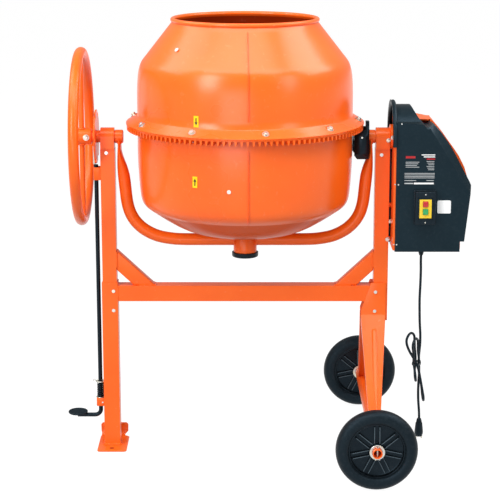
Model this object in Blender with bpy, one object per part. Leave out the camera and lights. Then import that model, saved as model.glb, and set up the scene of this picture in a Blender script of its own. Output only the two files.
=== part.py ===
"""Electric concrete mixer with a tilting drum, as an assembly of separate pieces.

Metres, +Z up. X runs along the trunnion axis with the motor on +X, and -Y is the
working side. The origin is under the middle of the mixer on the ground.
"""
import math

import bmesh
import bpy
from mathutils import Matrix, Vector
from mathutils.geometry import convex_hull_2d

# ---------------------------------------------------------------- driving sizes
fit_gap = 0.0003            # between pieces that touch
run_gap = 0.0005            # round a turning piece
sheet = 0.0025              # drum and guard sheet

trunnion_z = 0.895          # height of the tilt axis
post_offset = 0.381         # from the drum axis to a post's middle
post_side = 0.040
tube_wall = 0.002
post_top_drop = 0.033       # post top below the tilt axis

leg_side = 0.045            # sleeve that the left post slides into
leg_top_z = 0.483
leg_overlap = 0.110
foot_sheet = 0.004
foot_width = 0.072
foot_depth = 0.150
foot_lip = 0.045
foot_slot_y = -0.052

crossbar_side = 0.045
crossbar_top_z = 0.474
brace_side = 0.034
brace_rise = 0.085          # brace foot to post joint, up and along
brace_run = 0.092

wheel_radius = 0.110
wheel_width = 0.050
wheel_track_half = 0.3667
wheel_offset = 0.351        # from the drum axis to the axle
axle_radius = 0.0135
axle_wall = 0.003
split_pin_radius = 0.0018
tyre_depth = 0.030
wheel_leg_sheet = 0.003
wheel_leg_width = 0.070
wheel_leg_toe = 0.036
wheel_leg_flange = 0.018
leg_slope = 0.027           # corner cut off the leg plate's inner top
leg_slope_z = 0.402
wheel_leg_spread = 0.265    # from the middle to where a leg meets the axle

mouth_radius = 0.198        # to the middle of the rolled bead
mouth_z = 1.2186
bead_radius = 0.006
shoulder_radius = 0.287
shoulder_z = 1.103
drum_radius = 0.296
flange_radius = 0.3285
flange_z = 0.936            # the joint between the two shells
flange_top_z = 0.957        # where the upper shell's sloped flange meets its wall
lap_top_z = 0.963           # lower shell's edge, lapped inside the upper one
knuckle_radius = 0.286
knuckle_z = 0.724
bottom_edge_radius = 0.262
bottom_edge_z = 0.694
bottom_flat_radius = 0.055
bottom_z = 0.627

ring_teeth = 132
pinion_teeth = 12
gear_pitch_radius = 0.3225  # of the ring, at the teeth's outer end
gear_inner_radius = 0.3025
gear_outer_radius = 0.3265
tooth_top = 0.0049
tooth_root = 0.0046
backlash = 0.0022
pinion_root = 0.0055        # deeper than the ring's teeth reach
pinion_tip_share = 0.70     # of the ring's tooth height

yoke_offset = 0.332
yoke_tube = 0.017           # tube radius
yoke_wall = 0.003
yoke_bend = 0.112
yoke_z = 0.6035             # middle of the bottom run
yoke_flat = 0.0050          # half thickness of the flattened ends
yoke_flat_width = 0.025     # half width of the flattened ends
yoke_end_offset = 0.348
journal_radius = 0.017
journal_bore = 0.0118
hub_radius = 0.0325
hub_bottom_z = 0.568
hub_top_z = 0.613
cap_radius = 0.037
cap_depth = 0.013
spindle_radius = 0.010
spindle_flange = 0.045
bearing_radius = 0.021
bearing_height = 0.012

block_width = 0.038
block_radius = 0.025

wheel_ring_radius = 0.232   # handwheel
wheel_ring_tube = 0.0145
wheel_ring_offset = 0.4525
spoke_radius = 0.0075
wheel_hub_radius = 0.0225
disc_radius = 0.0745
disc_thickness = 0.004
disc_offset = 0.4105        # from the drum axis to the disc's near face

rod_radius = 0.006
rod_offset = 0.4145
rod_top_drop = 0.0785       # below the tilt axis
rod_bottom_z = 0.087
rod_end_offset = 0.481      # the rod's flat run stops under the pad's middle
pin_radius = 0.0035
pin_offset = 0.4195
pin_length = 0.052
pad_length = 0.0555
pad_width = 0.030           # half the pad's depth in Y
pad_height = 0.0052
pad_reach = 0.508           # drum axis to the pad's tip
spring_radius = 0.0095
spring_wire = 0.0011
spring_turns = 6
spring_top_z = 0.186
spring_bottom_z = 0.1415
bracket_sheet = 0.003
bracket_height = 0.024
upper_bracket_z = 0.774
lower_bracket_z = 0.117

shaft_radius = 0.0085
shaft_end = 0.452
plate_sheet = 0.003         # mounting plate
plate_stand = 0.0062        # mounting plate off the post
plate_fold = 0.0110
boss_radius = 0.034
spacer_radius = 0.008
cover_left = 0.413
housing_radius = 0.090      # round the belt pulley
housing_lip = 0.103         # flared edge of the hump
lip_depth = 0.011
housing_bottom_z = 0.587
housing_side = 0.089        # half depth of the housing in Y
housing_wall = 0.003
housing_chamfer = 0.014
rear_overhang = 0.012       # rear cover outside the front cover
hump_end = 0.462
hump_crown = 0.014
hump_foot = 0.019
hump_slot_depth = 0.0612
shelf_z = 0.947
shelf_end = 0.510
slope_end = 0.6205
slope_z = 0.772
corner_offset = 0.604
corner_z = 0.616
heel_offset = 0.592
motor_z = 0.700
motor_radius = 0.055
motor_length = 0.120
motor_start = 0.462
big_pulley_radius = 0.0825
small_pulley_radius = 0.011
pulley_width = 0.016
pulley_start = 0.424
belt_thickness = 0.003

guard_top_drop = 0.002
guard_bottom_z = 0.836
guard_side = 0.045
guard_start = 0.3005
guard_end = 0.3415
guard_chamfer = 0.016

switch_width = 0.056
switch_height = 0.091
switch_depth = 0.022
switch_offset = 0.493       # from the drum axis to the switch's middle
switch_z = 0.7135
plate_width = 0.033
plate_height = 0.052
button_width = 0.0135
button_height = 0.0150
button_stand = 0.0045
button_travel = 0.0025
red_button_z = 0.7255
green_button_z = 0.7045

cord_radius = 0.0036
gland_radius = 0.010
gland_length = 0.022
gland_offset = 0.492
gland_y = -0.030
plug_length = 0.060
plug_radius = 0.0155
tie_width = 0.006
tie_sheet = 0.0012
tie_z = 0.250

# the drum axis sits where the whole mixer is centred over the origin
drum_x = (pad_reach - slope_end) / 2
post_top_z = trunnion_z - post_top_drop
axle_z = wheel_radius
plate_offset = post_offset + post_side / 2 + fit_gap + plate_stand    # mounting plate's near face

# ---------------------------------------------------------------- scene and helpers
for old in list(bpy.data.objects):
    bpy.data.objects.remove(old, do_unlink=True)

mixer = bpy.data.collections.new("concrete_mixer")
cutters = bpy.data.collections.new("cutters")
bpy.context.scene.collection.children.link(mixer)
bpy.context.scene.collection.children.link(cutters)

orange = (0.83, 0.125, 0.018)
black = (0.018, 0.022, 0.025)
finishes = {
    "powder_coat": (orange, 0.35, 0.0), "black_paint": (black, 0.45, 0.0),
    "black_plastic": (black, 0.55, 0.0), "rubber": ((0.02, 0.02, 0.02), 0.8, 0.0),
    "zinc": ((0.62, 0.62, 0.6), 0.35, 1.0), "steel": ((0.45, 0.45, 0.46), 0.35, 1.0),
    "bronze": ((0.55, 0.36, 0.16), 0.4, 1.0), "cast_iron": ((0.12, 0.12, 0.12), 0.6, 1.0),
    "yellow_plastic": ((0.80, 0.62, 0.03), 0.4, 0.0), "red_plastic": ((0.6, 0.02, 0.02), 0.4, 0.0),
    "green_plastic": ((0.05, 0.42, 0.2), 0.4, 0.0), "motor_paint": ((0.16, 0.17, 0.18), 0.5, 0.0),
}


def make_object(name, mesh, finish, collection=mixer):
    """Link a mesh as a named object with its own material."""
    obj = bpy.data.objects.new(name, mesh)
    collection.objects.link(obj)
    colour, roughness, metallic = finishes[finish]
    material = bpy.data.materials.new(name + "_" + finish)
    material.use_nodes = True
    shader = material.node_tree.nodes["Principled BSDF"]
    shader.inputs["Base Color"].default_value = (*colour, 1)
    shader.inputs["Roughness"].default_value = roughness
    shader.inputs["Metallic"].default_value = metallic
    mesh.materials.append(material)
    return obj


def mesh_from(name, vertices, faces):
    """A mesh with its faces turned outward."""
    mesh = bpy.data.meshes.new(name)
    body = bmesh.new()
    points = [body.verts.new(v) for v in vertices]
    for face in faces:
        body.faces.new([points[i] for i in face])
    bmesh.ops.recalc_face_normals(body, faces=body.faces)
    body.to_mesh(mesh)
    body.free()
    return mesh


def place(axis, along, across, up):
    """A point from its distance along an axis and its two other coordinates."""
    return {"X": (along, across, up), "Y": (across, along, up), "Z": (across, up, along)}[axis]


def prism(name, outline, axis, low, high, finish="steel", collection=mixer):
    """Extrude an outline of (across, up) points along an axis."""
    count = len(outline)
    vertices = [place(axis, end, a, b) for end in (low, high) for a, b in outline]
    faces = [tuple(range(count)), tuple(range(2 * count - 1, count - 1, -1))]
    faces += [(i, (i + 1) % count, count + (i + 1) % count, count + i) for i in range(count)]
    return make_object(name, mesh_from(name, vertices, faces), finish, collection)


def box(name, xs, ys, zs, finish="steel", collection=mixer):
    """A block between two values on each axis."""
    corners = [(xs[0], zs[0]), (xs[1], zs[0]), (xs[1], zs[1]), (xs[0], zs[1])]
    return prism(name, corners, "Y", ys[0], ys[1], finish, collection)


def arc(radius, start, end, steps, centre=(0, 0)):
    """Points on an arc, angles in degrees."""
    return [(centre[0] + radius * math.cos(math.radians(start + (end - start) * i / steps)),
             centre[1] + radius * math.sin(math.radians(start + (end - start) * i / steps)))
            for i in range(steps + 1)]


def circle(radius, steps, centre=(0, 0)):
    return arc(radius, 0, 360, steps, centre)[:-1]


def revolve(name, profile, axis, centre, steps, finish, collection=mixer):
    """Turn a closed profile of (radius, along) points round an axis through centre."""
    vertices, rows = [], []
    for radius, along in profile:
        if radius < 1e-6:
            rows.append([len(vertices)] * steps)
            turns = 1
        else:
            rows.append([len(vertices) + i for i in range(steps)])
            turns = steps
        for i in range(turns):
            angle = 2 * math.pi * i / steps
            point = place(axis, along, radius * math.cos(angle), radius * math.sin(angle))
            vertices.append(Vector(centre) + Vector(point))
    faces = []
    for row, following in zip(rows, rows[1:] + rows[:1]):
        for i in range(steps):
            j = (i + 1) % steps
            face = list(dict.fromkeys((row[i], row[j], following[j], following[i])))
            if len(face) > 2:
                faces.append(face)
    return make_object(name, mesh_from(name, vertices, faces), finish, collection)


def rod(name, axis, centre, radius, low, high, finish, steps=32, collection=mixer):
    """A solid cylinder along an axis; centre holds the two other coordinates."""
    return prism(name, circle(radius, steps, centre), axis, low, high, finish, collection)


def ring(name, axis, centre, outer, inner, low, high, finish, steps=32, collection=mixer):
    """A tube along an axis."""
    profile = [(outer, low), (outer, high), (inner, high), (inner, low)]
    return revolve(name, profile, axis, place(axis, 0, *centre), steps, finish, collection)


def boolean(target, cutter, operation="DIFFERENCE"):
    """Cut or join with an object kept in the cutters collection."""
    if cutter.name not in cutters.objects:
        for home in list(cutter.users_collection):
            home.objects.unlink(cutter)
        cutters.objects.link(cutter)
    cutter.hide_render = True
    cutter.display_type = "WIRE"
    change = target.modifiers.new(cutter.name, "BOOLEAN")
    change.operation = operation
    change.solver = "EXACT"
    change.object = cutter


def hole(target, axis, centre, radius, low, high, steps=24):
    """Drill a round hole through a piece."""
    name = "%s_hole_%d" % (target.name, len(target.modifiers) + 1)
    boolean(target, rod(name, axis, centre, radius, low, high, "steel", steps, cutters))


def frames_along(points, closed):
    """Unit tangents and two steady cross directions along a path."""
    count = len(points)
    tangents = []
    for i, point in enumerate(points):
        before = points[i - 1] if closed or i else point
        after = points[(i + 1) % count] if closed or i < count - 1 else point
        tangents.append((after - before).normalized())
    side = tangents[0].orthogonal().normalized()
    sides = []
    for tangent in tangents:
        side = (side - tangent * side.dot(tangent)).normalized()
        sides.append(side)
    return [(t, s, t.cross(s)) for t, s in zip(tangents, sides)]


def sweep(name, points, radius, steps, finish, closed=False):
    """A round bar along a path."""
    vertices, faces = [], []
    for point, (_, side, over) in zip(points, frames_along(points, closed)):
        for i in range(steps):
            angle = 2 * math.pi * i / steps
            vertices.append(point + radius * (math.cos(angle) * side + math.sin(angle) * over))
    rows = len(points)
    for row in range(rows if closed else rows - 1):
        here, there = row * steps, (row + 1) % rows * steps
        for i in range(steps):
            j = (i + 1) % steps
            faces.append((here + i, here + j, there + j, there + i))
    if not closed:
        faces += [tuple(range(steps)), tuple(range(rows * steps - 1, (rows - 1) * steps - 1, -1))]
    return make_object(name, mesh_from(name, vertices, faces), finish)


# ---------------------------------------------------------------- frame
def square_tube(name, x, low, high, side, finish="powder_coat"):
    """An upright square tube, open at both ends."""
    half = side / 2
    tube = box(name, (x - half, x + half), (-half, half), (low, high), finish)
    inner = half - tube_wall
    boolean(tube, box(name + "_bore", (x - inner, x + inner), (-inner, inner),
                      (low - 0.01, high + 0.01), "steel", cutters))
    return tube


def left_stand():
    """Post, sleeve leg and foot plate under the left trunnion."""
    x = drum_x - post_offset
    square_tube("left_post", x, leg_top_z - leg_overlap, post_top_z, post_side)
    bore = leg_side / 2 - tube_wall
    assert bore > post_side / 2
    square_tube("left_leg", x, foot_sheet + fit_gap, leg_top_z, leg_side)
    half, depth = foot_width / 2, foot_depth / 2
    outline = [(x - half, 0), (x + half, 0), (x + half + foot_lip * 0.28, foot_lip),
               (x + half + foot_lip * 0.28 - foot_sheet, foot_lip),
               (x + half - foot_sheet, foot_sheet), (x - half + foot_sheet, foot_sheet),
               (x - half + foot_sheet, foot_lip), (x - half, foot_lip)]
    foot = prism("left_foot", outline, "Y", -depth, depth, "powder_coat")
    boolean(foot, box("foot_slot", (x - 0.0055, x + 0.0055), (foot_slot_y - 0.004, foot_slot_y + 0.004),
                      (-0.01, foot_sheet * 2), "steel", cutters))
    notch = 0.008
    boolean(foot, box("foot_notch", (x + half - foot_sheet, x + half + foot_lip), (-notch, 0),
                      (foot_sheet * 3, foot_lip * 2), "steel", cutters))
    for side in (-1, 1):
        edge = [(side * depth * 0.55, foot_lip * 1.01), (side * depth * 1.1, foot_lip * 0.4),
                (side * depth * 1.1, foot_lip * 1.5), (side * depth * 0.55, foot_lip * 1.5)]
        boolean(foot, prism("foot_corner_%d" % side, edge, "X", x - foot_width, x + foot_width,
                            "steel", cutters))


def right_stand():
    """Right post down to the wheel legs."""
    x = drum_x + post_offset
    square_tube("right_post", x, leg_top_z - leg_overlap, post_top_z, post_side)


def crossbar():
    half = crossbar_side / 2
    left = drum_x - post_offset + leg_side / 2 + fit_gap
    right = drum_x + post_offset - post_side / 2 - fit_gap
    low = crossbar_top_z - crossbar_side
    bar = box("crossbar", (left, right), (-half, half), (low, crossbar_top_z), "powder_coat")
    inner = half - tube_wall
    boolean(bar, box("crossbar_bore", (left - 0.01, right + 0.01), (-inner, inner),
                     (low + tube_wall, crossbar_top_z - tube_wall), "steel", cutters))


def brace(name, side):
    """A corner tube from the crossbar's top to a post."""
    post_face = post_offset - post_side / 2 - fit_gap
    foot = crossbar_top_z + fit_gap
    length = math.hypot(brace_run, brace_rise)
    cut_up = brace_side * length / brace_run
    cut_along = brace_side * length / brace_rise
    out = drum_x + side * post_face
    outline = [(out, foot + brace_rise), (out, foot + brace_rise - cut_up),
               (out - side * (brace_run - cut_along), foot), (out - side * brace_run, foot)]
    prism(name, outline, "Y", -brace_side / 2, brace_side / 2, "powder_coat")


def wheel_leg(name, side):
    """A pressed channel from the right post's foot down and out to the axle."""
    x = drum_x + wheel_offset
    post_x = drum_x + post_offset
    face = crossbar_side / 2 + fit_gap
    plate_low, plate_high = 0.391, leg_top_z
    toe_y, toe_z = wheel_leg_spread, axle_z + axle_radius + fit_gap
    top = [(face, plate_high), (face, plate_low), (toe_y, toe_z)]
    direction = Vector((toe_y - face, toe_z - plate_low)).normalized()
    out = Vector((-direction.y, direction.x)) * wheel_leg_sheet
    outline = top + [(toe_y + out.x, toe_z), (face + wheel_leg_sheet, plate_low + out.y / 2),
                     (face + wheel_leg_sheet, plate_high)]
    outline = [(side * a, b) for a, b in outline]
    left, right = post_x + 0.019 - wheel_leg_width, post_x + 0.019
    leg = prism(name, outline, "X", left, right, "powder_coat")
    taper = (wheel_leg_width - wheel_leg_toe) / 2
    for edge, sign in ((left, 1), (right, -1)):
        wedge = [(edge - sign * 0.02, plate_low), (edge, plate_low), (edge + sign * taper, toe_z - 0.01),
                 (edge - sign * 0.02, toe_z - 0.01)]
        low, high = sorted((side * (face - 0.01), side * (toe_y + 0.02)))
        boolean(leg, prism("%s_taper_%d" % (name, sign), wedge, "Y", low, high, "steel", cutters))
    slope = [(left - 0.02, leg_slope_z), (left, leg_slope_z), (left + leg_slope, plate_high + 0.001),
             (left - 0.02, plate_high + 0.001)]
    low, high = sorted((side * (face - 0.01), side * (face + 0.02)))
    boolean(leg, prism(name + "_slope", slope, "Y", low, high, "steel", cutters))
    for sign, edge in ((1, left), (-1, right)):
        flange_outline = [(face, plate_low), (toe_y, toe_z), (toe_y - 0.004, toe_z),
                          (face, plate_low - wheel_leg_flange)]
        flange_outline = [(side * a, b) for a, b in flange_outline]
        inner = x - sign * (wheel_leg_toe / 2 - wheel_leg_sheet)
        outer = x - sign * wheel_leg_toe / 2
        low, high = sorted((inner, outer))
        rib = prism("%s_flange_%d" % (name, sign), flange_outline, "X", low, high, "steel", cutters)
        boolean(leg, rib, "UNION")


def axle():
    """Axle tube with a pin outside each wheel."""
    x = drum_x + wheel_offset
    reach = wheel_track_half + wheel_width / 2 + 0.012
    tube = ring("axle", "Y", (x, axle_z), axle_radius, axle_radius - axle_wall, -reach, reach,
                "powder_coat", 24)
    pin_y = wheel_track_half + wheel_width / 2 + 0.004
    pin_half = axle_radius + 0.006
    for name, side in (("front_wheel_pin", -1), ("rear_wheel_pin", 1)):
        hole(tube, "Z", (x, side * pin_y), split_pin_radius + fit_gap, axle_z - 0.03, axle_z + 0.03, 12)
        rod(name, "Z", (x, side * pin_y), split_pin_radius, axle_z - pin_half, axle_z + pin_half,
            "zinc", 12)


def road_wheel(name, side):
    """Tyre and disc of one wheel."""
    x, y = drum_x + wheel_offset, side * wheel_track_half
    half = wheel_width / 2
    rim = wheel_radius - tyre_depth
    crown = 0.006
    profile = [(rim, -half + crown), (wheel_radius - crown * 1.6, -half),
               (wheel_radius - crown / 3, -half + crown), (wheel_radius, -half / 3),
               (wheel_radius, half / 3), (wheel_radius - crown / 3, half - crown),
               (wheel_radius - crown * 1.6, half), (rim, half - crown)]
    revolve(name + "_tyre", profile, "Y", (x, y, axle_z), 30, "rubber")
    hub = axle_radius + 0.009
    bore = axle_radius + run_gap
    web = 0.004
    face = half - 0.003
    outer = rim - fit_gap
    disc = [(bore, -face), (hub, -face), (hub + 0.002, -web), (outer - 0.006, -web),
            (outer - 0.003, -half + 0.009), (outer, -half + 0.009), (outer, half - 0.009),
            (outer - 0.003, half - 0.009), (outer - 0.006, web), (hub + 0.002, web), (hub, face),
            (bore, face)]
    revolve(name + "_disc", disc, "Y", (x, y, axle_z), 30, "black_plastic")


def trunnion_block(name, side):
    """Bearing block on a post's top, round a journal."""
    x = drum_x + side * post_offset
    low = post_top_z + fit_gap
    outline = [(-block_radius, low), (block_radius, low), (block_radius, trunnion_z)]
    outline += arc(block_radius, 0, 180, 16, (0, trunnion_z))[1:]
    block = prism(name, outline, "X", x - block_width / 2, x + block_width / 2, "powder_coat")
    hole(block, "X", (0, trunnion_z), journal_radius + run_gap, x - 0.03, x + 0.03, 32)


# ---------------------------------------------------------------- pedal lock
def rod_bracket(name, low):
    """Folded guide fixed to the left post's outer face."""
    face = drum_x - post_offset - (post_side if low > leg_top_z else leg_side) / 2 - fit_gap
    out = drum_x - rod_offset - 0.011
    half = 0.014
    bracket = box(name, (out, face), (-half, half), (low, low + bracket_height), "powder_coat")
    boolean(bracket, box(name + "_mouth", (out - 0.01, face - bracket_sheet), (-half * 2, half * 2),
                         (low + bracket_sheet, low + bracket_height - bracket_sheet), "steel",
                         cutters))
    hole(bracket, "Z", (drum_x - rod_offset, 0), rod_radius + run_gap, low - 0.01,
         low + bracket_height + 0.01)


def pedal():
    """Lock rod with its pin, the foot pad and the return spring."""
    x = drum_x - rod_offset
    top = trunnion_z - rod_top_drop
    bend = 0.014
    turn = [Vector((x - bend + bend * math.cos(a), 0, rod_bottom_z + bend - bend * math.sin(a)))
            for a in (i * math.pi / 12 for i in range(1, 7))]
    points = [Vector((x, 0, top)), Vector((x, 0, rod_bottom_z + bend))] + turn
    points.append(Vector((drum_x - rod_end_offset, 0, rod_bottom_z)))
    bar = sweep("pedal_rod", points, rod_radius, 12, "black_paint")
    collar = rod("rod_collar", "Z", (x, 0), spring_radius + 0.001, spring_top_z + fit_gap,
                 spring_top_z + 0.004, "zinc", 20, cutters)
    boolean(bar, collar, "UNION")
    rod("lock_pin", "Z", (drum_x - pin_offset, 0), pin_radius, top + fit_gap, top + pin_length,
        "zinc", 16)

    outline = [(drum_x - pad_reach + pad_length / 2 + pad_length / 2 * math.cos(a),
                pad_width * math.sin(a)) for a in (math.pi * i / 12 for i in range(24))]
    low = rod_bottom_z + rod_radius + fit_gap
    prism("foot_pad", outline, "Z", low, low + pad_height, "rubber")

    turns, per_turn = spring_turns, 9
    height = spring_top_z - spring_bottom_z - 2 * spring_wire - fit_gap
    mean = spring_radius - spring_wire
    points = []
    for i in range(turns * per_turn + 1):
        angle = 2 * math.pi * i / per_turn
        rise = spring_bottom_z + spring_wire + height * i / (turns * per_turn)
        points.append(Vector((x + mean * math.cos(angle), mean * math.sin(angle), rise)))
    sweep("return_spring", points, spring_wire, 5, "black_paint")


# ---------------------------------------------------------------- yoke and handwheel
def yoke_path():
    """Middle line of the yoke from its left end to its right end, with the flattening there."""
    left = []
    flat_low = trunnion_z - 0.058
    round_high = flat_low - 0.045
    left.append((yoke_end_offset, trunnion_z - 0.007, 1.0))
    left.append((yoke_end_offset, flat_low, 1.0))
    left.append((yoke_end_offset - 0.007, (flat_low + round_high) / 2, 0.5))
    left.append((yoke_offset + 0.001, round_high, 0.08))
    left.append((yoke_offset, round_high - 0.03, 0.0))
    steps = 6
    for i in range(steps + 1):
        angle = math.pi / 2 * i / steps
        left.append((yoke_offset - yoke_bend + yoke_bend * math.cos(angle),
                     yoke_z + yoke_bend - yoke_bend * math.sin(angle), 0.0))
    return ([(drum_x - a, b, c) for a, b, c in left]
            + [(drum_x + a, b, c) for a, b, c in reversed(left)])


def yoke():
    """Bent tube under the drum; hollow, flattened at both ends."""
    path = yoke_path()
    steps = 16
    points = [Vector((a, 0, b)) for a, b, _ in path]
    vertices, faces = [], []
    for i, (point, (_, _, flat)) in enumerate(zip(points, path)):
        before, after = points[max(i - 1, 0)], points[min(i + 1, len(points) - 1)]
        tangent = (after - before).normalized()
        over = Vector((tangent.z, 0, -tangent.x))
        for wall in (0, yoke_wall):
            thin = yoke_tube + (yoke_flat - yoke_tube) * flat - wall
            wide = yoke_tube + (yoke_flat_width - yoke_tube) * flat - wall
            for k in range(steps):
                angle = 2 * math.pi * k / steps
                vertices.append(point + thin * math.cos(angle) * over
                                + Vector((0, wide * math.sin(angle), 0)))
    rows = len(points)
    for row in range(rows - 1):
        for shell in (0, 1):
            here = (2 * row + shell) * steps
            there = here + 2 * steps
            for k in range(steps):
                j = (k + 1) % steps
                faces.append((here + k, here + j, there + j, there + k))
    for row in (0, rows - 1):
        here = 2 * row * steps
        for k in range(steps):
            j = (k + 1) % steps
            faces.append((here + k, here + j, here + steps + j, here + steps + k))
    tube = make_object("yoke", mesh_from("yoke", vertices, faces), "powder_coat")
    for side in (-1, 1):
        x = drum_x + side * yoke_end_offset
        hole(tube, "X", (0, trunnion_z), journal_radius + fit_gap, x - 0.03, x + 0.03, 32)
    hole(tube, "Z", (drum_x, 0), spindle_radius + run_gap, yoke_z - 0.03, yoke_z + 0.03, 32)


def yoke_hub():
    """Bearing hub hung on the yoke's bottom run, with its cap and bearing."""
    hub = rod("yoke_hub", "Z", (drum_x, 0), hub_radius, hub_bottom_z, hub_top_z, "powder_coat", 32)
    hole(hub, "X", (0, yoke_z), yoke_tube + fit_gap, drum_x - 0.05, drum_x + 0.05, 40)
    hole(hub, "Z", (drum_x, 0), bearing_radius + fit_gap, hub_bottom_z - 0.01,
         hub_bottom_z + bearing_height + fit_gap, 32)
    hole(hub, "Z", (drum_x, 0), spindle_radius + run_gap, hub_bottom_z, hub_top_z, 32)
    ring("spindle_bearing", "Z", (drum_x, 0), bearing_radius, spindle_radius + run_gap,
         hub_bottom_z, hub_bottom_z + bearing_height, "steel", 32)
    top = hub_bottom_z - fit_gap
    wall = 0.0025
    cap = [(0, top - cap_depth), (cap_radius - 0.003, top - cap_depth),
           (cap_radius, top - cap_depth + 0.003),
           (cap_radius, top), (spindle_radius + 0.006, top),
           (spindle_radius + 0.006, top - cap_depth + wall), (0, top - cap_depth + wall)]
    revolve("hub_cap", cap, "Z", (drum_x, 0, 0), 28, "black_plastic")


def journals():
    """Left and right stub shafts that the yoke is welded to."""
    inner = yoke_end_offset - 0.0105
    far = wheel_ring_offset - 0.012
    rod("left_journal", "X", (0, trunnion_z), journal_radius, drum_x - far, drum_x - inner,
        "powder_coat", 32)
    ring("right_journal", "X", (0, trunnion_z), journal_radius, journal_bore, drum_x + inner,
         drum_x + plate_offset - 2 * run_gap, "powder_coat", 32)


def handwheel():
    """Tilting wheel with its cross bar, hub and the lock disc beside the post."""
    x = drum_x - wheel_ring_offset
    rows = 32
    hub_outer = x - spoke_radius - 0.004
    points = [Vector((x, wheel_ring_radius * math.cos(2 * math.pi * i / rows),
                      trunnion_z + wheel_ring_radius * math.sin(2 * math.pi * i / rows)))
              for i in range(rows)]
    rim = sweep("handwheel_rim", points, wheel_ring_tube, 10, "powder_coat", True)
    reach = wheel_ring_radius - wheel_ring_tube * 0.4
    hole(rim, "Z", (x, 0), spoke_radius + fit_gap, trunnion_z - reach, trunnion_z + reach, 24)
    bar_end = reach - fit_gap
    rod("handwheel_bar", "Z", (x, 0), spoke_radius, trunnion_z - bar_end, trunnion_z + bar_end,
        "powder_coat", 16)
    start = drum_x - disc_offset - disc_thickness - 0.0105
    hub = rod("handwheel_hub", "X", (0, trunnion_z), wheel_hub_radius, hub_outer, start,
              "powder_coat", 32)
    hole(hub, "Z", (x, 0), spoke_radius + fit_gap, trunnion_z - 0.04, trunnion_z + 0.04, 24)
    hole(hub, "X", (0, trunnion_z), journal_radius + fit_gap, x + spoke_radius + 0.003, start + 0.01, 32)
    near = drum_x - disc_offset
    disc = rod("lock_disc", "X", (0, trunnion_z), disc_radius, near - disc_thickness, near,
               "powder_coat", 40)
    hole(disc, "X", (0, trunnion_z), journal_radius + fit_gap, near - 0.02, near + 0.02, 32)
    slot = 0.006
    for k in range(6):
        turn = 60 * k + 30
        cut = box("lock_slot_%d" % k, (near - 0.01, near + 0.01), (-slot, slot),
                  (disc_radius - 0.014, disc_radius + 0.01), "steel", cutters)
        cut.data.transform(Matrix.Rotation(math.radians(turn), 4, "X"))
        cut.data.transform(Matrix.Translation((0, 0, trunnion_z)))
        boolean(disc, cut)


# ---------------------------------------------------------------- drum
def lower_profile(inset):
    """Outer line of the lower shell from the bottom's middle up to the flange."""
    points = [(bottom_flat_radius, bottom_z)]
    steps = 4
    rise = bottom_edge_z - bottom_z
    for i in range(1, steps + 1):
        share = i / steps
        radius = bottom_flat_radius + (bottom_edge_radius - bottom_flat_radius) * share
        points.append((radius, bottom_z + rise * share ** 1.7))
    points.append((bottom_edge_radius + 0.019, bottom_edge_z + 0.012))
    points.append((knuckle_radius, knuckle_z))
    points.append((drum_radius, trunnion_z))
    return [(r - inset * (1 if r > bottom_edge_radius + 0.01 else 0.25 * r / bottom_edge_radius),
             z + inset * (0 if r > bottom_edge_radius + 0.025 else 1)) for r, z in points]


def lower_inner_radius(z):
    """Inside radius of the lower shell's wall at a height."""
    share = (z - knuckle_z) / (trunnion_z - knuckle_z)
    return knuckle_radius + (drum_radius - knuckle_radius) * share - sheet


def drum_lower():
    """Deep-drawn lower shell with its flange, open at the top."""
    bore = spindle_radius + fit_gap
    seam = flange_z - fit_gap / 2
    lap = drum_radius - sheet - fit_gap
    outer, inner = lower_profile(0), lower_profile(sheet)
    profile = ([(bore, bottom_z)] + outer
               + [(drum_radius, seam - sheet), (flange_radius, seam - sheet), (flange_radius, seam),
                  (lap, seam), (lap, lap_top_z), (lap - sheet, lap_top_z), (lap - sheet, seam - sheet * 2),
                  (drum_radius - sheet, seam - sheet * 4)]
               + list(reversed(inner)) + [(bore, bottom_z + sheet)])
    revolve("drum_lower", profile, "Z", (drum_x, 0, 0), 48, "powder_coat")


def upper_outline(inset):
    """Line of the upper shell from above the flange to the mouth."""
    slope = Vector((mouth_radius - shoulder_radius, mouth_z - shoulder_z)).normalized()
    normal = Vector((slope.y, -slope.x))
    return [(drum_radius - inset, flange_top_z + 0.002), (drum_radius + 0.001 - inset, 1.02),
            (shoulder_radius + 0.005 - inset, shoulder_z - 0.022),
            (shoulder_radius - 0.003 - inset * 0.9, shoulder_z - 0.004),
            (shoulder_radius - 0.012 - inset * normal.x, shoulder_z + 0.012 - inset * normal.y),
            (mouth_radius + bead_radius * 0.4 - inset * normal.x,
             mouth_z - bead_radius * 1.2 - inset * normal.y)]


def drum_upper():
    """Upper shell: sloped flange, barrel, cone and the rolled bead at the mouth."""
    seam = flange_z + fit_gap / 2
    profile = [(flange_radius - sheet * 1.8, seam), (flange_radius, seam), (flange_radius, seam + sheet),
               (drum_radius + 0.001, flange_top_z)]
    profile += upper_outline(0)
    profile += arc(bead_radius, -75, 210, 6, (mouth_radius, mouth_z))
    profile += list(reversed(upper_outline(sheet)))
    revolve("drum_upper", profile, "Z", (drum_x, 0, 0), 48, "powder_coat")


def gear_mesh():
    """Height of the ring's pitch plane above the ground."""
    return trunnion_z + gear_pitch_radius * pinion_teeth / ring_teeth


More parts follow.
